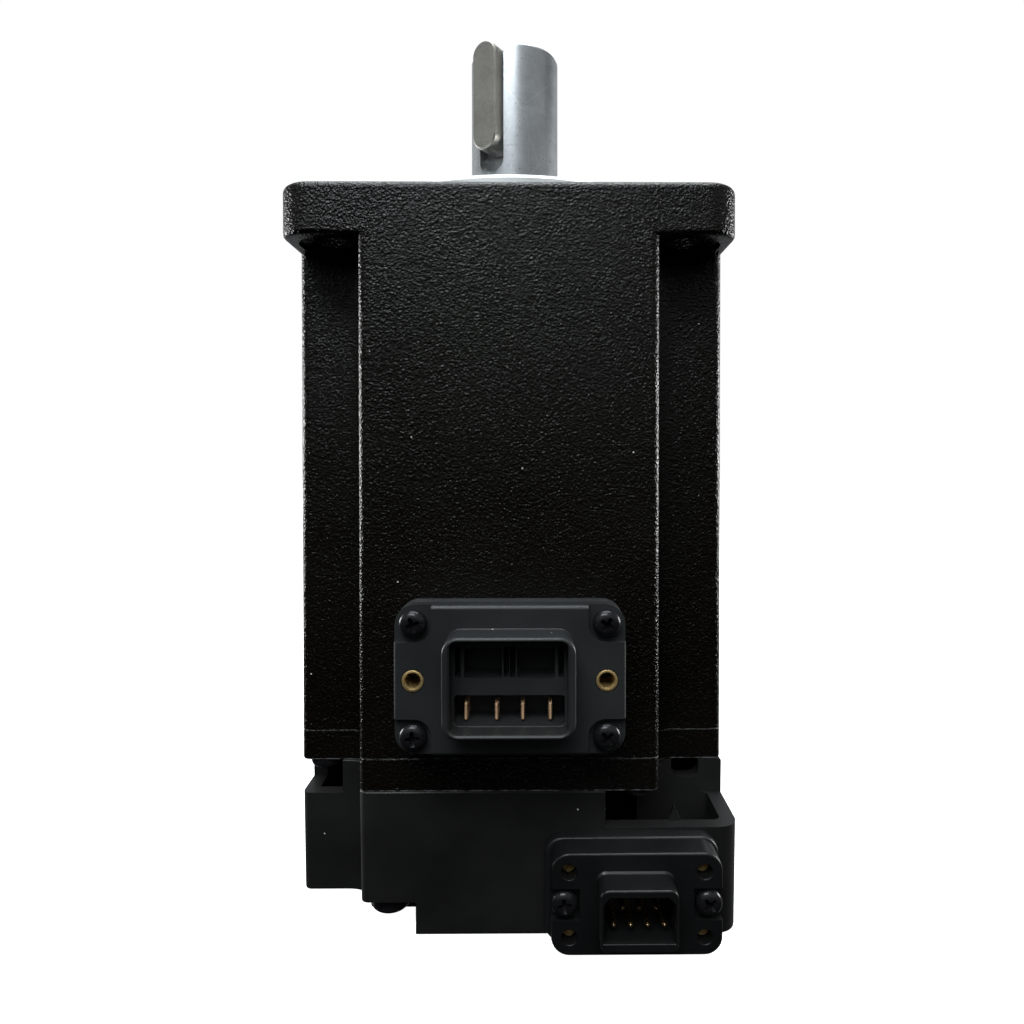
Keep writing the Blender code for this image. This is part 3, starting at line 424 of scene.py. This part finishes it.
WIRE = grained_metal("enamelled_copper", (0.60, 0.26, 0.10), 0.32, 0.8, 0.00004, 900.0)
LAMINATED = laminated_steel()
MAGNET = grained_metal("nickel_plate", (0.40, 0.40, 0.38), 0.28)
BOARD = circuit_board()
GLASS = grained_metal("encoder_disc_chrome", (0.60, 0.63, 0.66), 0.12, 0.6, 0.0000005)


# ----------------------------------------------------------------------------- outlines


def rounded(corners, steps=8, closed=True):
    """Points through the corners (x, y, radius), each corner rounded by its radius."""
    points = []
    for i, (x, y, radius) in enumerate(corners):
        here = Vector((x, y))
        if not radius or (not closed and i in (0, len(corners) - 1)):
            points.append(here)
            continue
        before = (Vector(corners[i - 1][:2]) - here).normalized()
        after = (Vector(corners[(i + 1) % len(corners)][:2]) - here).normalized()
        half = before.angle(after) / 2
        centre = here + (before + after).normalized() * radius / math.sin(half)
        start = here + before * radius / math.tan(half) - centre
        end = here + after * radius / math.tan(half) - centre
        turn = math.atan2(start.x * end.y - start.y * end.x, start.dot(end))
        for step in range(steps + 1):
            points.append(centre + Matrix.Rotation(turn * step / steps, 2) @ start)
    return points


def rectangle(x, y, width, height, radius=0.0, steps=8):
    right, top = width / 2, height / 2
    signs = ((-1, -1), (1, -1), (1, 1), (-1, 1))
    return rounded([(x + a * right, y + b * top, max(radius, 1e-6)) for a, b in signs], steps)


def circle(radius, sides=64, x=0.0, y=0.0):
    turns = (math.tau * (i + 0.5) / sides for i in range(sides))
    return [Vector((x + radius * math.cos(t), y + radius * math.sin(t))) for t in turns]


def cross_section(inset=0.0, square_corner=0.0, edge=EDGE_RADIUS, steps=8):
    """Two crossed bars, drawn in by inset. The corner at +X, -Y can be filled out square."""
    reach, half = REACH - inset, ARM_HALF - inset
    outer, inner = max(edge - inset, 0.0004), RECESS_RADIUS + inset
    corners = []
    for quarter in range(4):
        turn = Matrix.Rotation(quarter * math.pi / 2, 2)
        if quarter == 0 and square_corner:
            shape = [(reach, -reach, max(square_corner - inset, 0.0006))]
        else:
            shape = [(half, -reach, outer), (half, -half, inner), (reach, -half, outer)]
        corners += [(*(turn @ Vector((x, y))), radius) for x, y, radius in shape]
    return rounded(corners, steps)


def edge_round(height, radius, outward=1, steps=4):
    """(inset, height) pairs down a rounded edge that ends at the full outline."""
    pairs = []
    for i in range(steps + 1):
        turn = math.pi / 2 * i / steps
        drop = radius * (1 - math.sin(math.pi / 2 - turn))
        pairs.append((radius * (1 - math.sin(turn)), height - outward * drop))
    return pairs


# ------------------------------------------------------------------------------- meshes


def mesh_object(name, work, turn=None):
    bmesh.ops.recalc_face_normals(work, faces=work.faces)
    mesh = bpy.data.meshes.new(name)
    work.to_mesh(mesh)
    work.free()
    if turn is not None:
        mesh.transform(turn)
    made = bpy.data.objects.new(name, mesh)
    bpy.context.scene.collection.objects.link(made)
    return made


def skin(name, rings, turn=None, closed=False):
    """A solid skinned over rings (outline, height) that have equally many points."""
    work = bmesh.new()
    loops = [[work.verts.new((p.x, p.y, height)) for p in outline] for outline, height in rings]
    pairs = list(zip(loops, loops[1:]))
    if closed:
        pairs.append((loops[-1], loops[0]))
    for low, high in pairs:
        for i in range(len(low)):
            j = (i + 1) % len(low)
            work.faces.new((low[i], low[j], high[j], high[i]))
    if not closed:
        work.faces.new(loops[0])
        work.faces.new(loops[-1])
    return mesh_object(name, work, turn)


def turned(name, profile, sides=64, turn=None, closed=False, x=0.0, y=0.0):
    """A profile of (radius, height) turned about Z, or about the line through (x, y)."""
    return skin(name, [(circle(r, sides, x, y), h) for r, h in profile], turn, closed)


def block(name, low, high):
    work = bmesh.new()
    bmesh.ops.create_cube(work, size=1.0)
    size = [b - a for a, b in zip(low, high)]
    bmesh.ops.scale(work, vec=size, verts=work.verts)
    centre = [(a + b) / 2 for a, b in zip(low, high)]
    bmesh.ops.translate(work, vec=centre, verts=work.verts)
    return mesh_object(name, work)


def combine(target, tools, operation):
    """Joins or cuts the target with the tools, for good, and merges its flat faces again."""
    for tool in tools:
        change = target.modifiers.new(tool.name, "BOOLEAN")
        change.operation = operation
        change.solver = "EXACT"
        change.object = tool
    bake(target)
    for tool in tools:
        bpy.data.objects.remove(tool)
    work = bmesh.new()
    work.from_mesh(target.data)
    bmesh.ops.remove_doubles(work, verts=work.verts, dist=0.000002)
    bmesh.ops.dissolve_limit(
        work, angle_limit=math.radians(0.2), verts=work.verts, edges=work.edges
    )
    work.to_mesh(target.data)
    work.free()
    return target


def cut(target, *tools):
    return combine(target, tools, "DIFFERENCE")


def join(target, *tools):
    return combine(target, tools, "UNION")


def moved(piece, x, z):
    """The piece, its mesh moved to (x, z) on the front."""
    piece.data.transform(Matrix.Translation((x, 0, z)))
    return piece


def bake(target):
    """The target's modifiers, made part of its mesh."""
    bpy.context.view_layer.update()
    graph = bpy.context.evaluated_depsgraph_get()
    mesh = bpy.data.meshes.new_from_object(target.evaluated_get(graph))
    target.modifiers.clear()
    target.data = mesh


def soften(target, width, segments=3, angle=32.0):
    change = target.modifiers.new("soft edges", "BEVEL")
    change.width = width
    change.segments = segments
    change.limit_method = "ANGLE"
    change.angle_limit = math.radians(angle)
    change.miter_outer = "MITER_ARC"
    change.use_clamp_overlap = True
    bake(target)
    return target


def finish_piece(piece, material, slot, body, *nodes, smooth=40.0):
    """Shades a piece, gives it its material and body, and hides the CAD nodes it stands for."""
    if not piece.data.materials:
        piece.data.materials.append(material)
    piece.data.shade_smooth()
    piece.data.set_sharp_from_angle(angle=math.radians(smooth))
    change = piece.modifiers.new("even normals", "WEIGHTED_NORMAL")
    change.keep_sharp = True
    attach(piece, body)
    if nodes:
        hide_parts(*nodes)
    return piece


# ------------------------------------------------------------------------------- pieces


def pinwheel(out, aside):
    """Four places, one at the right of each side as seen from outside it."""
    return [Matrix.Rotation(i * math.pi / 2, 2) @ Vector((aside, -out)) for i in range(4)]


def make_housing():
    levels = [(0.00005, BELL_TOP), (0.0, BELL_TOP + 0.00012), (0.0, FLANGE_UNDERSIDE + 0.004)]
    body = skin("housing_shell", [(cross_section(inset), z) for inset, z in levels])
    under = edge_round(FLANGE_UNDERSIDE, 0.0009, -1)
    square = [
        (rectangle(0, 0, 2 * (REACH - i), 2 * (REACH - i), FLANGE_RADIUS - i), z)
        for i, z in [*under, *reversed(edge_round(FLANGE_FACE, 0.0013))]
    ]
    pilot = [
        (PILOT_RADIUS, FLANGE_FACE - 0.002),
        (PILOT_RADIUS, PILOT_FACE - 0.0008),
        (PILOT_RADIUS - 0.0008, PILOT_FACE),
    ]
    join(body, skin("flange", square), turned("pilot", pilot, 160))
    bore = [
        (0.0165, PILOT_FACE + 0.001),
        (0.0165, PILOT_FACE),
        (0.0160, PILOT_FACE - 0.0005),
        (0.0160, 0.1271),
        (0.0200, 0.1271),
        (0.0200, 0.1266),
        (0.0235, 0.1266),
        (0.0235, 0.1113),
        (0.0360, 0.1113),
        (0.0360, BELL_TOP - 0.001),
    ]
    holes = [turned("bore", bore, 128)]
    for i, (a, b) in enumerate(((-1, -1), (1, -1), (1, 1), (-1, 1))):
        profile = [
            (0.0040, FLANGE_FACE + 0.0005),
            (BOLT_HOLE_RADIUS, FLANGE_FACE - 0.0004),
            (BOLT_HOLE_RADIUS, FLANGE_UNDERSIDE + SPOTFACE_DEPTH),
            (SPOTFACE_RADIUS, FLANGE_UNDERSIDE + SPOTFACE_DEPTH),
            (SPOTFACE_RADIUS, FLANGE_UNDERSIDE - 0.002),
        ]
        holes.append(turned(f"bolt {i}", profile, 48, x=a * BOLT_OFFSET, y=b * BOLT_OFFSET))
    cut(body, *holes)
    for material in (PAINT, ALUMINIUM, EDGE):
        body.data.materials.append(material)
    for face in body.data.polygons:
        middle = face.center
        round_part = math.hypot(middle.x, middle.y) < PILOT_RADIUS + 0.0003
        faced = middle.z > FLANGE_FACE - 0.00002
        if faced or (round_part and middle.z > 0.126):
            face.material_index = 1
        elif middle.z < BELL_TOP + 0.00013:
            face.material_index = 2
    finish_piece(body, PAINT, "black_paint", "stator", "housing")


def make_end_bell():
    low, high = COVER_TOP, BELL_TOP - 0.00002
    levels = [(0.0001, low), (0.0, low + 0.00022), (0.0, high - 0.0001), (0.0001, high)]
    bell = skin("end_bell", [(cross_section(inset), z) for inset, z in levels])
    boss = turned("boss", [(0.0220, high - 0.002), (0.0220, 0.0365)], 96)
    lower = turned("lower boss", [(0.0205, 0.0228), (0.0205, low + 0.003)], 96)
    wall = [(0.0295, 0.0133), (0.0330, 0.0133), (0.0330, low + 0.002), (0.0295, low + 0.002)]
    join(bell, boss, lower, turned("wall", wall, 96, closed=True))
    bore = [(0.0120, 0.0218), (0.0120, 0.0257), (0.0175, 0.0257), (0.0175, 0.0375)]
    holes = [turned("bore", bore, 96)]
    for x, y in pinwheel(BELL_SCREW_OUT, BELL_SCREW_ASIDE):
        holes.append(turned("way", [(0.0022, low - 0.001), (0.0022, high + 0.001)], 32, x=x, y=y))
    for side in (-1, 1):
        x, y = side * COVER_SCREW[0], side * COVER_SCREW[1]
        holes.append(turned("way", [(0.0018, low - 0.001), (0.0018, low + 0.0042)], 32, x=x, y=y))
        holes.append(turned("way", [(0.0011, 0.012), (0.0011, 0.0205)], 24, x=side * 0.03125))
    cut(bell, *holes)
    bell.data.materials.append(PAINT)
    bell.data.materials.append(EDGE)
    for face in bell.data.polygons:
        middle = face.center
        outside = max(abs(middle.x), abs(middle.y)) > ARM_HALF - 0.001
        face.material_index = int(outside and low < middle.z < low + 0.00022)
    finish_piece(bell, PAINT, "black_paint", "stator", "rear_end_bell")


def make_cover():
    top = COVER_TOP - 0.0001
    levels = [*edge_round(0.0, 0.0005, -1), (0.0, top - 0.0002), (0.0002, top)]
    draft = 0.0003
    rings = [(cross_section(i + draft * (1 - z / top), 0.0036), z) for i, z in levels]
    cover = skin("cover_shell", rings)
    inside = REACH - COVER_WALL
    past = top + 0.001
    chamber = cross_section(COVER_WALL)
    hollow = skin("hollow", [(chamber, z) for z in (COVER_FLOOR, past)])
    corner = rectangle(0.0326, -0.0317, 0.0092, 0.0110, 0.0012)
    pocket = skin("corner pocket", [(corner, z) for z in (COVER_FLOOR, past)])
    passage = block("passage", (0.0170, -inside, COVER_FLOOR), (0.0290, -0.0290, past))
    join(hollow, pocket, passage)
    posts, notches = [], []
    for side in (-1, 1):
        x = sorted((side * (ARM_HALF + 0.001), side * 0.0135))
        y = sorted((side * (REACH + 0.001), side * 0.0285))
        posts.append(block("post", (x[0], y[0], 0.002), (x[1], y[1], 0.0088)))
        x = sorted((side * (ARM_HALF + 0.002), side * 0.0162))
        y = sorted((side * (REACH + 0.002), side * 0.0313))
        notches.append(block("notch", (x[0], y[0], -0.001), (x[1], y[1], NOTCH_CEILING)))
    cut(hollow, *posts)
    windows = (
        ((0.0166, -0.0410), (0.0410, -0.0290)),
        ((0.0280, -0.0300), (0.0410, -0.0262)),
        ((-0.0410, -0.0270), (-0.0322, -0.0180)),
        ((-0.0270, 0.0322), (-0.0180, 0.0410)),
        ((0.0322, 0.0180), (0.0410, 0.0270)),
    )
    tools = [hollow, *notches]
    for low, high in windows:
        tools.append(block("window", (*low, WINDOW_SILL), (*high, past)))
    notch = rectangle(0.03305, 0.0240, 0.0052, 0.0044, 0.0016)
    tools.append(skin("lead notch", [(notch, 0.0228), (notch, 0.0272)], FRONT))
    for side in (-1, 1):
        x, y = side * COVER_SCREW[0], side * COVER_SCREW[1]
        tools.append(turned("way", [(0.0018, 0.004), (0.0018, 0.010)], 32, x=x, y=y))
    cut(cover, *tools)
    rib = [Vector(p) for p in ((0.0278, 0.0186), (0.0302, 0.0186), (0.0290, 0.0214))]
    join(cover, skin("rib", [(rib, inside - 0.0006), (rib, inside + 0.0004)], FRONT))
    soften(cover, 0.0003)
    finish_piece(cover, COVER_PLASTIC, "black_plastic", "stator", "encoder_cover")


def stepped_corner(x, z, out, edge, reach, radius):
    """The outline of a stepped corner: square outside, rounded round the screw inside."""
    inward = x + math.copysign(reach, -(out - x))
    lift = z - math.copysign(reach, edge - z)
    corner = [(out, lift, 0), (inward, lift, radius), (inward, edge, 0), (out, edge, 0)]
    return rounded(corner, 12)


def make_power_connector():
    width, height = POWER_PLATE
    rim = rectangle(POWER_X, POWER_Z, width - 0.0006, height - 0.0006, 0.0032)
    levels = [(rim, REACH + 0.0001), (rim, REACH + 0.0013)]
    gasket = skin("power_seal", levels, FRONT)
    finish_piece(gasket, RUBBER, "dark_rubber", "stator", "power_gasket")

    def flange(inset, depth):
        size = (width - 2 * inset, height - 2 * inset)
        return rectangle(POWER_X, POWER_Z, *size, 0.0034 - inset), depth

    def shell(inset, depth, opening=False):
        size = POWER_MOUTH if opening else POWER_SHELL
        size = (size[0] - 2 * inset, size[1] - 2 * inset)
        middle, radius = (POWER_MOUTH_Z, 0.0012) if opening else (POWER_SHELL_Z, 0.0026)
        return rectangle(POWER_X, middle, *size, radius - inset), depth

    back = REACH + 0.0015
    rings = [flange(0.0002, back), flange(0.0, back + 0.0002)]
    for i in range(3):
        groove = back + 0.0010 + 0.0009 * i
        rings += [flange(0.0, groove), flange(0.00012, groove + 0.0001), flange(0.0, groove + 0.0002)]
    rings += [flange(*pair) for pair in reversed(edge_round(POWER_FACE, 0.0007))]
    rings += [shell(-0.0001, POWER_FACE), shell(0.0, POWER_FACE + 0.0001)]
    rings += [shell(*pair) for pair in reversed(edge_round(POWER_RIM, 0.0005))]
    rings += [shell(-0.0003, POWER_RIM, True), shell(0.0, POWER_RIM - 0.0003, True)]
    rings += [shell(0.0, POWER_FLOOR + 0.0001, True), shell(0.0001, POWER_FLOOR, True)]
    body = skin("power_plug_body", rings, FRONT)
    tools = []
    floor = POWER_FLOOR + 0.0010
    for side in (-1, 1):
        middle = POWER_X + side * 0.0042
        key = rectangle(middle, 0.0501, 0.0060, 0.0048, 0.0004, 3)
        tools.append(skin("cavity", [(key, POWER_CAVITY_BACK), (key, floor)], FRONT))
        for x in (middle - side * 0.0037, middle + side * 0.0040):
            slot = rectangle(x, 0.0503, 0.0009, 0.0050, 0.0002, 2)
            tools.append(skin("slot", [(slot, 0.0455), (slot, floor)], FRONT))
    lower = rectangle(POWER_X, 0.04275, 0.0176, 0.0045, 0.0005, 3)
    tools.append(skin("pin cavity", [(lower, POWER_CAVITY_BACK), (lower, floor)], FRONT))
    for x, z in power_screw_places():
        out = POWER_X + math.copysign(width / 2 + 0.001, x - POWER_X)
        edge = POWER_Z + math.copysign(height / 2 + 0.001, z - POWER_Z)
        corner = stepped_corner(x, z, out, edge, 0.0030, 0.0028)
        levels = [(corner, POWER_FACE - POWER_POCKET), (corner, POWER_FACE + 0.001)]
        tools.append(skin("pocket", levels, FRONT))
        way = turned("way", [(0.0014, REACH), (0.0014, 0.050)], 24, FRONT)
        tools.append(moved(way, x, z))
    for side in (-1, 1):
        seat = turned("seat", [(0.0019, 0.0422), (0.0019, 0.049)], 48, FRONT)
        tools.append(moved(seat, POWER_X + side * POWER_SCREW_OUT, POWER_Z))
    cut(body, *tools)
    soften(body, 0.00015, 2, 50.0)
    finish_piece(body, PLUG_PLASTIC, "black_plastic", "stator", "power_connector")

    for i, side in enumerate((-1, 1)):
        name = f"power_threaded_insert_{i + 1}"
        insert = turned(name, insert_profile(0.00180, 0.00120, POWER_FACE, 0.0425), 48, FRONT, True)
        moved(insert, POWER_X + side * POWER_SCREW_OUT, POWER_Z)
        finish_piece(insert, BRASS, "brass", "stator", f"power_insert_{i + 1}", smooth=50.0)
    for i, x in enumerate(POWER_PINS_X):
        blade = [
            (rectangle(POWER_X + x, POWER_BLADE_Z, 0.0006, 0.0029, 0.0001, 2), 0.0356),
            (rectangle(POWER_X + x, POWER_BLADE_Z, 0.0006, 0.0029, 0.0001, 2), 0.0489),
            (rectangle(POWER_X + x, POWER_BLADE_Z, 0.0003, 0.0024, 0.0001, 2), 0.0494),
        ]
        pin = skin(f"power_blade_{i + 1}", blade, FRONT)
        finish_piece(pin, COPPER, "copper", "stator", f"power_pin_{i + 1}")
    for i, (x, z) in enumerate(power_screw_places()):
        screw = pan_head(f"power_fixing_{i + 1}", 0.00225, 0.0019, 0.0012, 0.0107, 20.0 + 37.0 * i)
        screw.data.transform(Matrix.Translation((x, -(POWER_FACE - POWER_POCKET), z)) @ FRONT)
        finish_piece(screw, SCREW_STEEL, "blackened_steel", "stator", f"power_screw_{i + 1}")


def power_screw_places():
    signs = ((-1, 1), (1, 1), (-1, -1), (1, -1))
    return [(POWER_X + a * POWER_SCREW_OUT, POWER_Z + b * POWER_SCREW_UP) for a, b in signs]


def insert_profile(outer, inner, face, back, turns=5):
    """A ring with thread-like grooves in its bore, as (radius, height) pairs."""
    profile = [(outer - 0.0001, face), (outer, face - 0.0001), (outer, back), (inner, back)]
    step = (face - 0.0004 - back) / turns
    for i in range(turns):
        profile += [(inner, back + step * (i + 0.2)), (inner + 0.00018, back + step * (i + 0.7))]
    return profile + [(inner, face - 0.0004), (inner + 0.0002, face)]


def pan_head(name, radius, height, shank, length, turn, slot=0.13, straight=0.42):
    """A pan-head screw, head up from z = 0, with a tapered cross recess."""
    profile = [(shank, -length), (shank, 0.0), (radius - 0.0001, 0.0), (radius, 0.0001)]
    rim = height * straight
    profile.append((radius, rim))
    for i in range(1, 9):
        lift = math.pi / 2 * i / 9
        across = radius * (0.30 + 0.70 * math.cos(lift))
        profile.append((across, rim + (height - rim) * math.sin(lift)))
    head = turned(name, profile, 48)
    rings = []
    for depth, wing in ((-0.75, 0.14), (0.0, 0.58), (0.5, 0.70)):
        r, s = radius * wing, radius * slot
        star = []
        for quarter in range(4):
            spin = Matrix.Rotation(quarter * math.pi / 2, 2)
            star += [spin @ Vector(p) for p in ((r, -s), (r, s), (s * 1.25, s * 1.25))]
        rings.append((star, height * (1 + depth)))
    cut(head, skin("recess", rings))
    head.data.transform(Matrix.Rotation(math.radians(turn), 4, "Z"))
    return head


def make_signal_connector():
    def pad(inset, depth):
        size = (PAD_SIZE[0] - 2 * inset, PAD_SIZE[1] - 2 * inset)
        return rectangle(SIGNAL_X - 0.0002, PAD_Z, *size, 0.0030 - inset), depth

    rings = [pad(0.0, REACH - 0.0001), *[pad(*p) for p in reversed(edge_round(PAD_FACE, 0.0005))]]
    base = skin("signal_pad", rings, FRONT)
    port = rectangle(SIGNAL_X, SIGNAL_Z, 0.0120, 0.0080)
    tools = [skin("port", [(port, 0.039), (port, 0.044)], FRONT)]
    for x, z in signal_screw_places():
        way = turned("way", [(0.0013, 0.039), (0.0013, 0.050)], 24, FRONT)
        tools.append(moved(way, x, z))
    cut(base, *tools)
    finish_piece(base, PAD_PLASTIC, "black_plastic", "stator", "encoder_connector_base")

    width, height = SIGNAL_PLATE

    def flange(inset, depth):
        size = (width - 2 * inset, height - 2 * inset)
        return rectangle(SIGNAL_X, SIGNAL_Z, *size, 0.0030 - inset), depth

    def shell(inset, depth, opening=False):
        if not opening:
            size = (SIGNAL_SHELL[0] - 2 * inset, SIGNAL_SHELL[1] - 2 * inset)
            outline = rectangle(SIGNAL_SHELL_X, SIGNAL_SHELL_Z, *size, 0.0014 - inset)
            return outline, depth
        left = SIGNAL_SHELL_X - SIGNAL_MOUTH_HALF + inset
        right = SIGNAL_SHELL_X + SIGNAL_MOUTH_HALF - inset
        low, high = SIGNAL_MOUTH_LOW + inset, SIGNAL_MOUTH_HIGH - inset
        chamfer = 0.0011
        corners = [
            (left, low),
            (right, low),
            (right, high - chamfer),
            (right - chamfer, high),
            (left + chamfer, high),
            (left, high - chamfer),
        ]
        points = []
        for (x0, z0), (x1, z1) in zip(corners, corners[1:] + corners[:1]):
            points += [Vector((x0 + (x1 - x0) * t / 6, z0 + (z1 - z0) * t / 6)) for t in range(6)]
        return points, depth

    rings = [flange(0.0001, PAD_FACE + 0.0002), flange(0.0, PAD_FACE + 0.0003)]
    rings += [flange(*pair) for pair in reversed(edge_round(SIGNAL_FACE, 0.0004))]
    rings += [shell(-0.0003, SIGNAL_FACE), shell(0.0, SIGNAL_FACE + 0.0003)]
    rings += [shell(*pair) for pair in reversed(edge_round(SIGNAL_RIM, 0.00035))]
    outer = skin("signal_plug_body", rings, FRONT)
    mouth = [
        shell(0.0, 0.0435, True),
        shell(0.0, SIGNAL_RIM - 0.0002, True),
        shell(-0.0004, SIGNAL_RIM + 0.0004, True),
    ]
    tools = [skin("mouth", mouth, FRONT)]
    for x, z in signal_screw_places():
        side = -1 if x < SIGNAL_X else 1
        out, inner = SIGNAL_X + side * (width / 2 + 0.001), x - side * 0.0025
        low = (min(out, inner), -SIGNAL_FACE - 0.001, z - 0.0026)
        high = (max(out, inner), -SIGNAL_FACE + SIGNAL_POCKET, z + 0.0026)
        tools.append(block("pocket", low, high))
    for x, z in signal_insert_places():
        profile = [
            (0.00120, 0.0432),
            (0.00120, SIGNAL_FACE - 0.0002),
            (0.0015, SIGNAL_FACE + 0.0002),
        ]
        tools.append(moved(turned("seat", profile, 40, FRONT), x, z))
    cut(outer, *tools)
    soften(outer, 0.00012, 2, 50.0)
    finish_piece(outer, SIGNAL_PLASTIC, "black_plastic", "stator", "encoder_connector")

    for i, (x, z) in enumerate(signal_insert_places()):
        name = f"signal_threaded_insert_{i + 1}"
        insert = turned(name, insert_profile(0.00105, 0.00070, 0.0454, 0.0435, 4), 40, FRONT, True)
        moved(insert, x, z)
        finish_piece(insert, BRASS, "brass", "stator", f"encoder_insert_{i + 1}", smooth=50.0)
    for i, (x, z) in enumerate(signal_pin_places()):
        tip = [(0.00045, 0.0362), (0.00045, 0.0498), (0.00036, 0.0501), (0.00018, SIGNAL_PIN_TIP)]
        pin = moved(turned(f"signal_contact_{i + 1}", tip, 24, FRONT), x, z)
        finish_piece(pin, GOLD, "gold_plate", "stator", f"encoder_pin_{i + 1}")
    for i, (x, z) in enumerate(signal_screw_places()):
        screw = pan_head(f"signal_fixing_{i + 1}", 0.0022, 0.0019, 0.0011, 0.0078, 8.0 + 30.0 * i)
        where = Matrix.Translation((x, -(SIGNAL_FACE - SIGNAL_POCKET), z))
        screw.data.transform(where @ FRONT)
        finish_piece(screw, SCREW_STEEL, "blackened_steel", "stator", f"encoder_screw_{i + 1}")


def signal_screw_places():
    return [(SIGNAL_X + side * SIGNAL_SCREW_OUT, SIGNAL_Z) for side in (-1, 1)]


def signal_insert_places():
    signs = ((-1, 1), (1, 1), (-1, -1), (1, -1))
    return [
        (SIGNAL_X + a * SIGNAL_INSERT_OUT, SIGNAL_Z + b * SIGNAL_INSERT_UP) for a, b in signs
    ]


def signal_pin_places():
    lower = [(SIGNAL_X + (i - 1.5) * SIGNAL_PITCH, 0.0081) for i in range(4)]
    upper = [(SIGNAL_X + (i - 1.0) * SIGNAL_PITCH, 0.0108) for i in range(3)]
    return lower + upper


def make_shaft():
    profile = [
        (SHAFT_RADIUS - 0.0008, SHAFT_TIP),
        (SHAFT_RADIUS - 0.0003, SHAFT_TIP - 0.0003),
        (SHAFT_RADIUS, SHAFT_TIP - 0.0009),
        (SHAFT_RADIUS, 0.1270),
        (0.0100, 0.1270),
        (0.0100, 0.1120),
        (0.0120, 0.1120),
        (0.0120, 0.0420),
        (0.0095, 0.0420),
        (0.0095, 0.0360),
        (0.0075, 0.0360),
        (0.0075, 0.0225),
        (0.0040, 0.0225),
        (0.0040, 0.0110),
    ]
    shaft = turned("output_shaft", profile, 160)
    face_out = Matrix.Rotation(KEY_TURN + math.pi / 2, 4, "Z") @ FRONT
    top = SHAFT_TIP + 0.004
    slot = rectangle(
        0, (top + KEYWAY_BOTTOM) / 2, KEYWAY_WIDTH, top - KEYWAY_BOTTOM, 0.00299, 16
    )
    keyway = skin("keyway", [(slot, KEYWAY_FLOOR), (slot, KEY_FACE)], face_out)
    centre = [
        (0.0008, SHAFT_TIP - 0.017),
        (0.0025, SHAFT_TIP - 0.016),
        (0.0025, SHAFT_TIP - 0.0012),
        (0.0038, SHAFT_TIP + 0.0002),
    ]
    cut(shaft, keyway, turned("centre hole", centre, 48))
    soften(shaft, 0.00015, 2, 50.0)
    finish_piece(shaft, STEEL, "ground_steel", "rotor", "shaft", smooth=30.0)

    def outline(inset, depth):
        size = (KEY_WIDTH - 2 * inset, KEY_LENGTH - 2 * inset)
        middle = SHAFT_TIP - 0.0003 - KEY_LENGTH / 2
        return rectangle(0, middle, *size, 0.00289 - inset, 16), depth

    rings = [outline(0.0, 0.0063), outline(0.0, KEY_FACE - 0.0003), outline(0.0003, KEY_FACE)]
    key = skin("parallel_key", rings, face_out)
    finish_piece(key, KEY_STEEL, "key_steel", "rotor", "shaft_key", smooth=30.0)


def make_seal():
    profile = [
        (0.0157, PILOT_FACE - 0.0008),
        (0.0157, 0.1276),
        (0.0128, 0.1276),
        (0.0128, 0.1293),
        (SHAFT_RADIUS + GAP, 0.1293),
        (SHAFT_RADIUS + GAP, PILOT_FACE - 0.0016),
        (0.0104, PILOT_FACE - 0.0012),
        (0.0112, PILOT_FACE - 0.0018),
        (0.0122, PILOT_FACE - 0.0018),
        (0.0126, PILOT_FACE - 0.0006),
        (0.0152, PILOT_FACE - 0.0006),
    ]
    seal = turned("lip_seal", profile, 96, closed=True)
    finish_piece(seal, RUBBER, "dark_rubber", "stator", "shaft_seal")


def make_screws():
    for i, (x, y) in enumerate(pinwheel(BELL_SCREW_OUT, BELL_SCREW_ASIDE)):
        screw = pan_head(f"bell_fixing_{i + 1}", 0.0030, 0.0023, 0.0020, 0.0160, 25.0 * i)
        flip = Matrix.Translation((x, y, COVER_TOP)) @ Matrix.Rotation(math.pi, 4, "X")
        screw.data.transform(flip)
        finish_piece(screw, SCREW_STEEL, "blackened_steel", "stator", f"end_bell_screw_{i + 1}")
    for i, side in enumerate((-1, 1)):
        name, turn = f"cover_fixing_{i + 1}", 40.0 * i + 12.0
        screw = pan_head(name, 0.0033, 0.0034, 0.0015, 0.0230, turn, straight=0.68)
        flip = Matrix.Rotation(math.pi, 4, "X")
        where = (side * COVER_SCREW[0], side * COVER_SCREW[1], NOTCH_CEILING)
        screw.data.transform(Matrix.Translation(where) @ flip)
        finish_piece(screw, SCREW_STEEL, "blackened_steel", "stator", f"cover_screw_{i + 1}")


def paint_inner_nodes():
    """The nodes inside keep their CAD shapes and get their materials."""
    finishes = {
        **{f"{end}_bearing_{part}": BEARING_STEEL for end in ("front", "rear")
           for part in ("outer_ring", "inner_ring", "balls")},
        "wave_washer": BEARING_STEEL,
        "encoder_hub": BEARING_STEEL,
        "stator_core": LAMINATED,
        "rotor_core": LAMINATED,
        "magnet_ring": MAGNET,
        "stator_windings": WIRE,
        "encoder_disc": GLASS,
        "encoder_board": BOARD,
        "encoder_read_head": PLUG_PLASTIC,
        "encoder_board_screw_1": SCREW_STEEL,
        "encoder_board_screw_2": SCREW_STEEL,
        "power_lead_bundle": RUBBER,
        "encoder_lead_bundle": RUBBER,
    }
    for name, finish in finishes.items():
        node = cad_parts[name]
        node.data.materials.clear()
        node.data.materials.append(finish)


make_housing()
make_end_bell()
make_cover()
make_power_connector()
make_signal_connector()
make_shaft()
make_seal()
make_screws()
paint_inner_nodes()
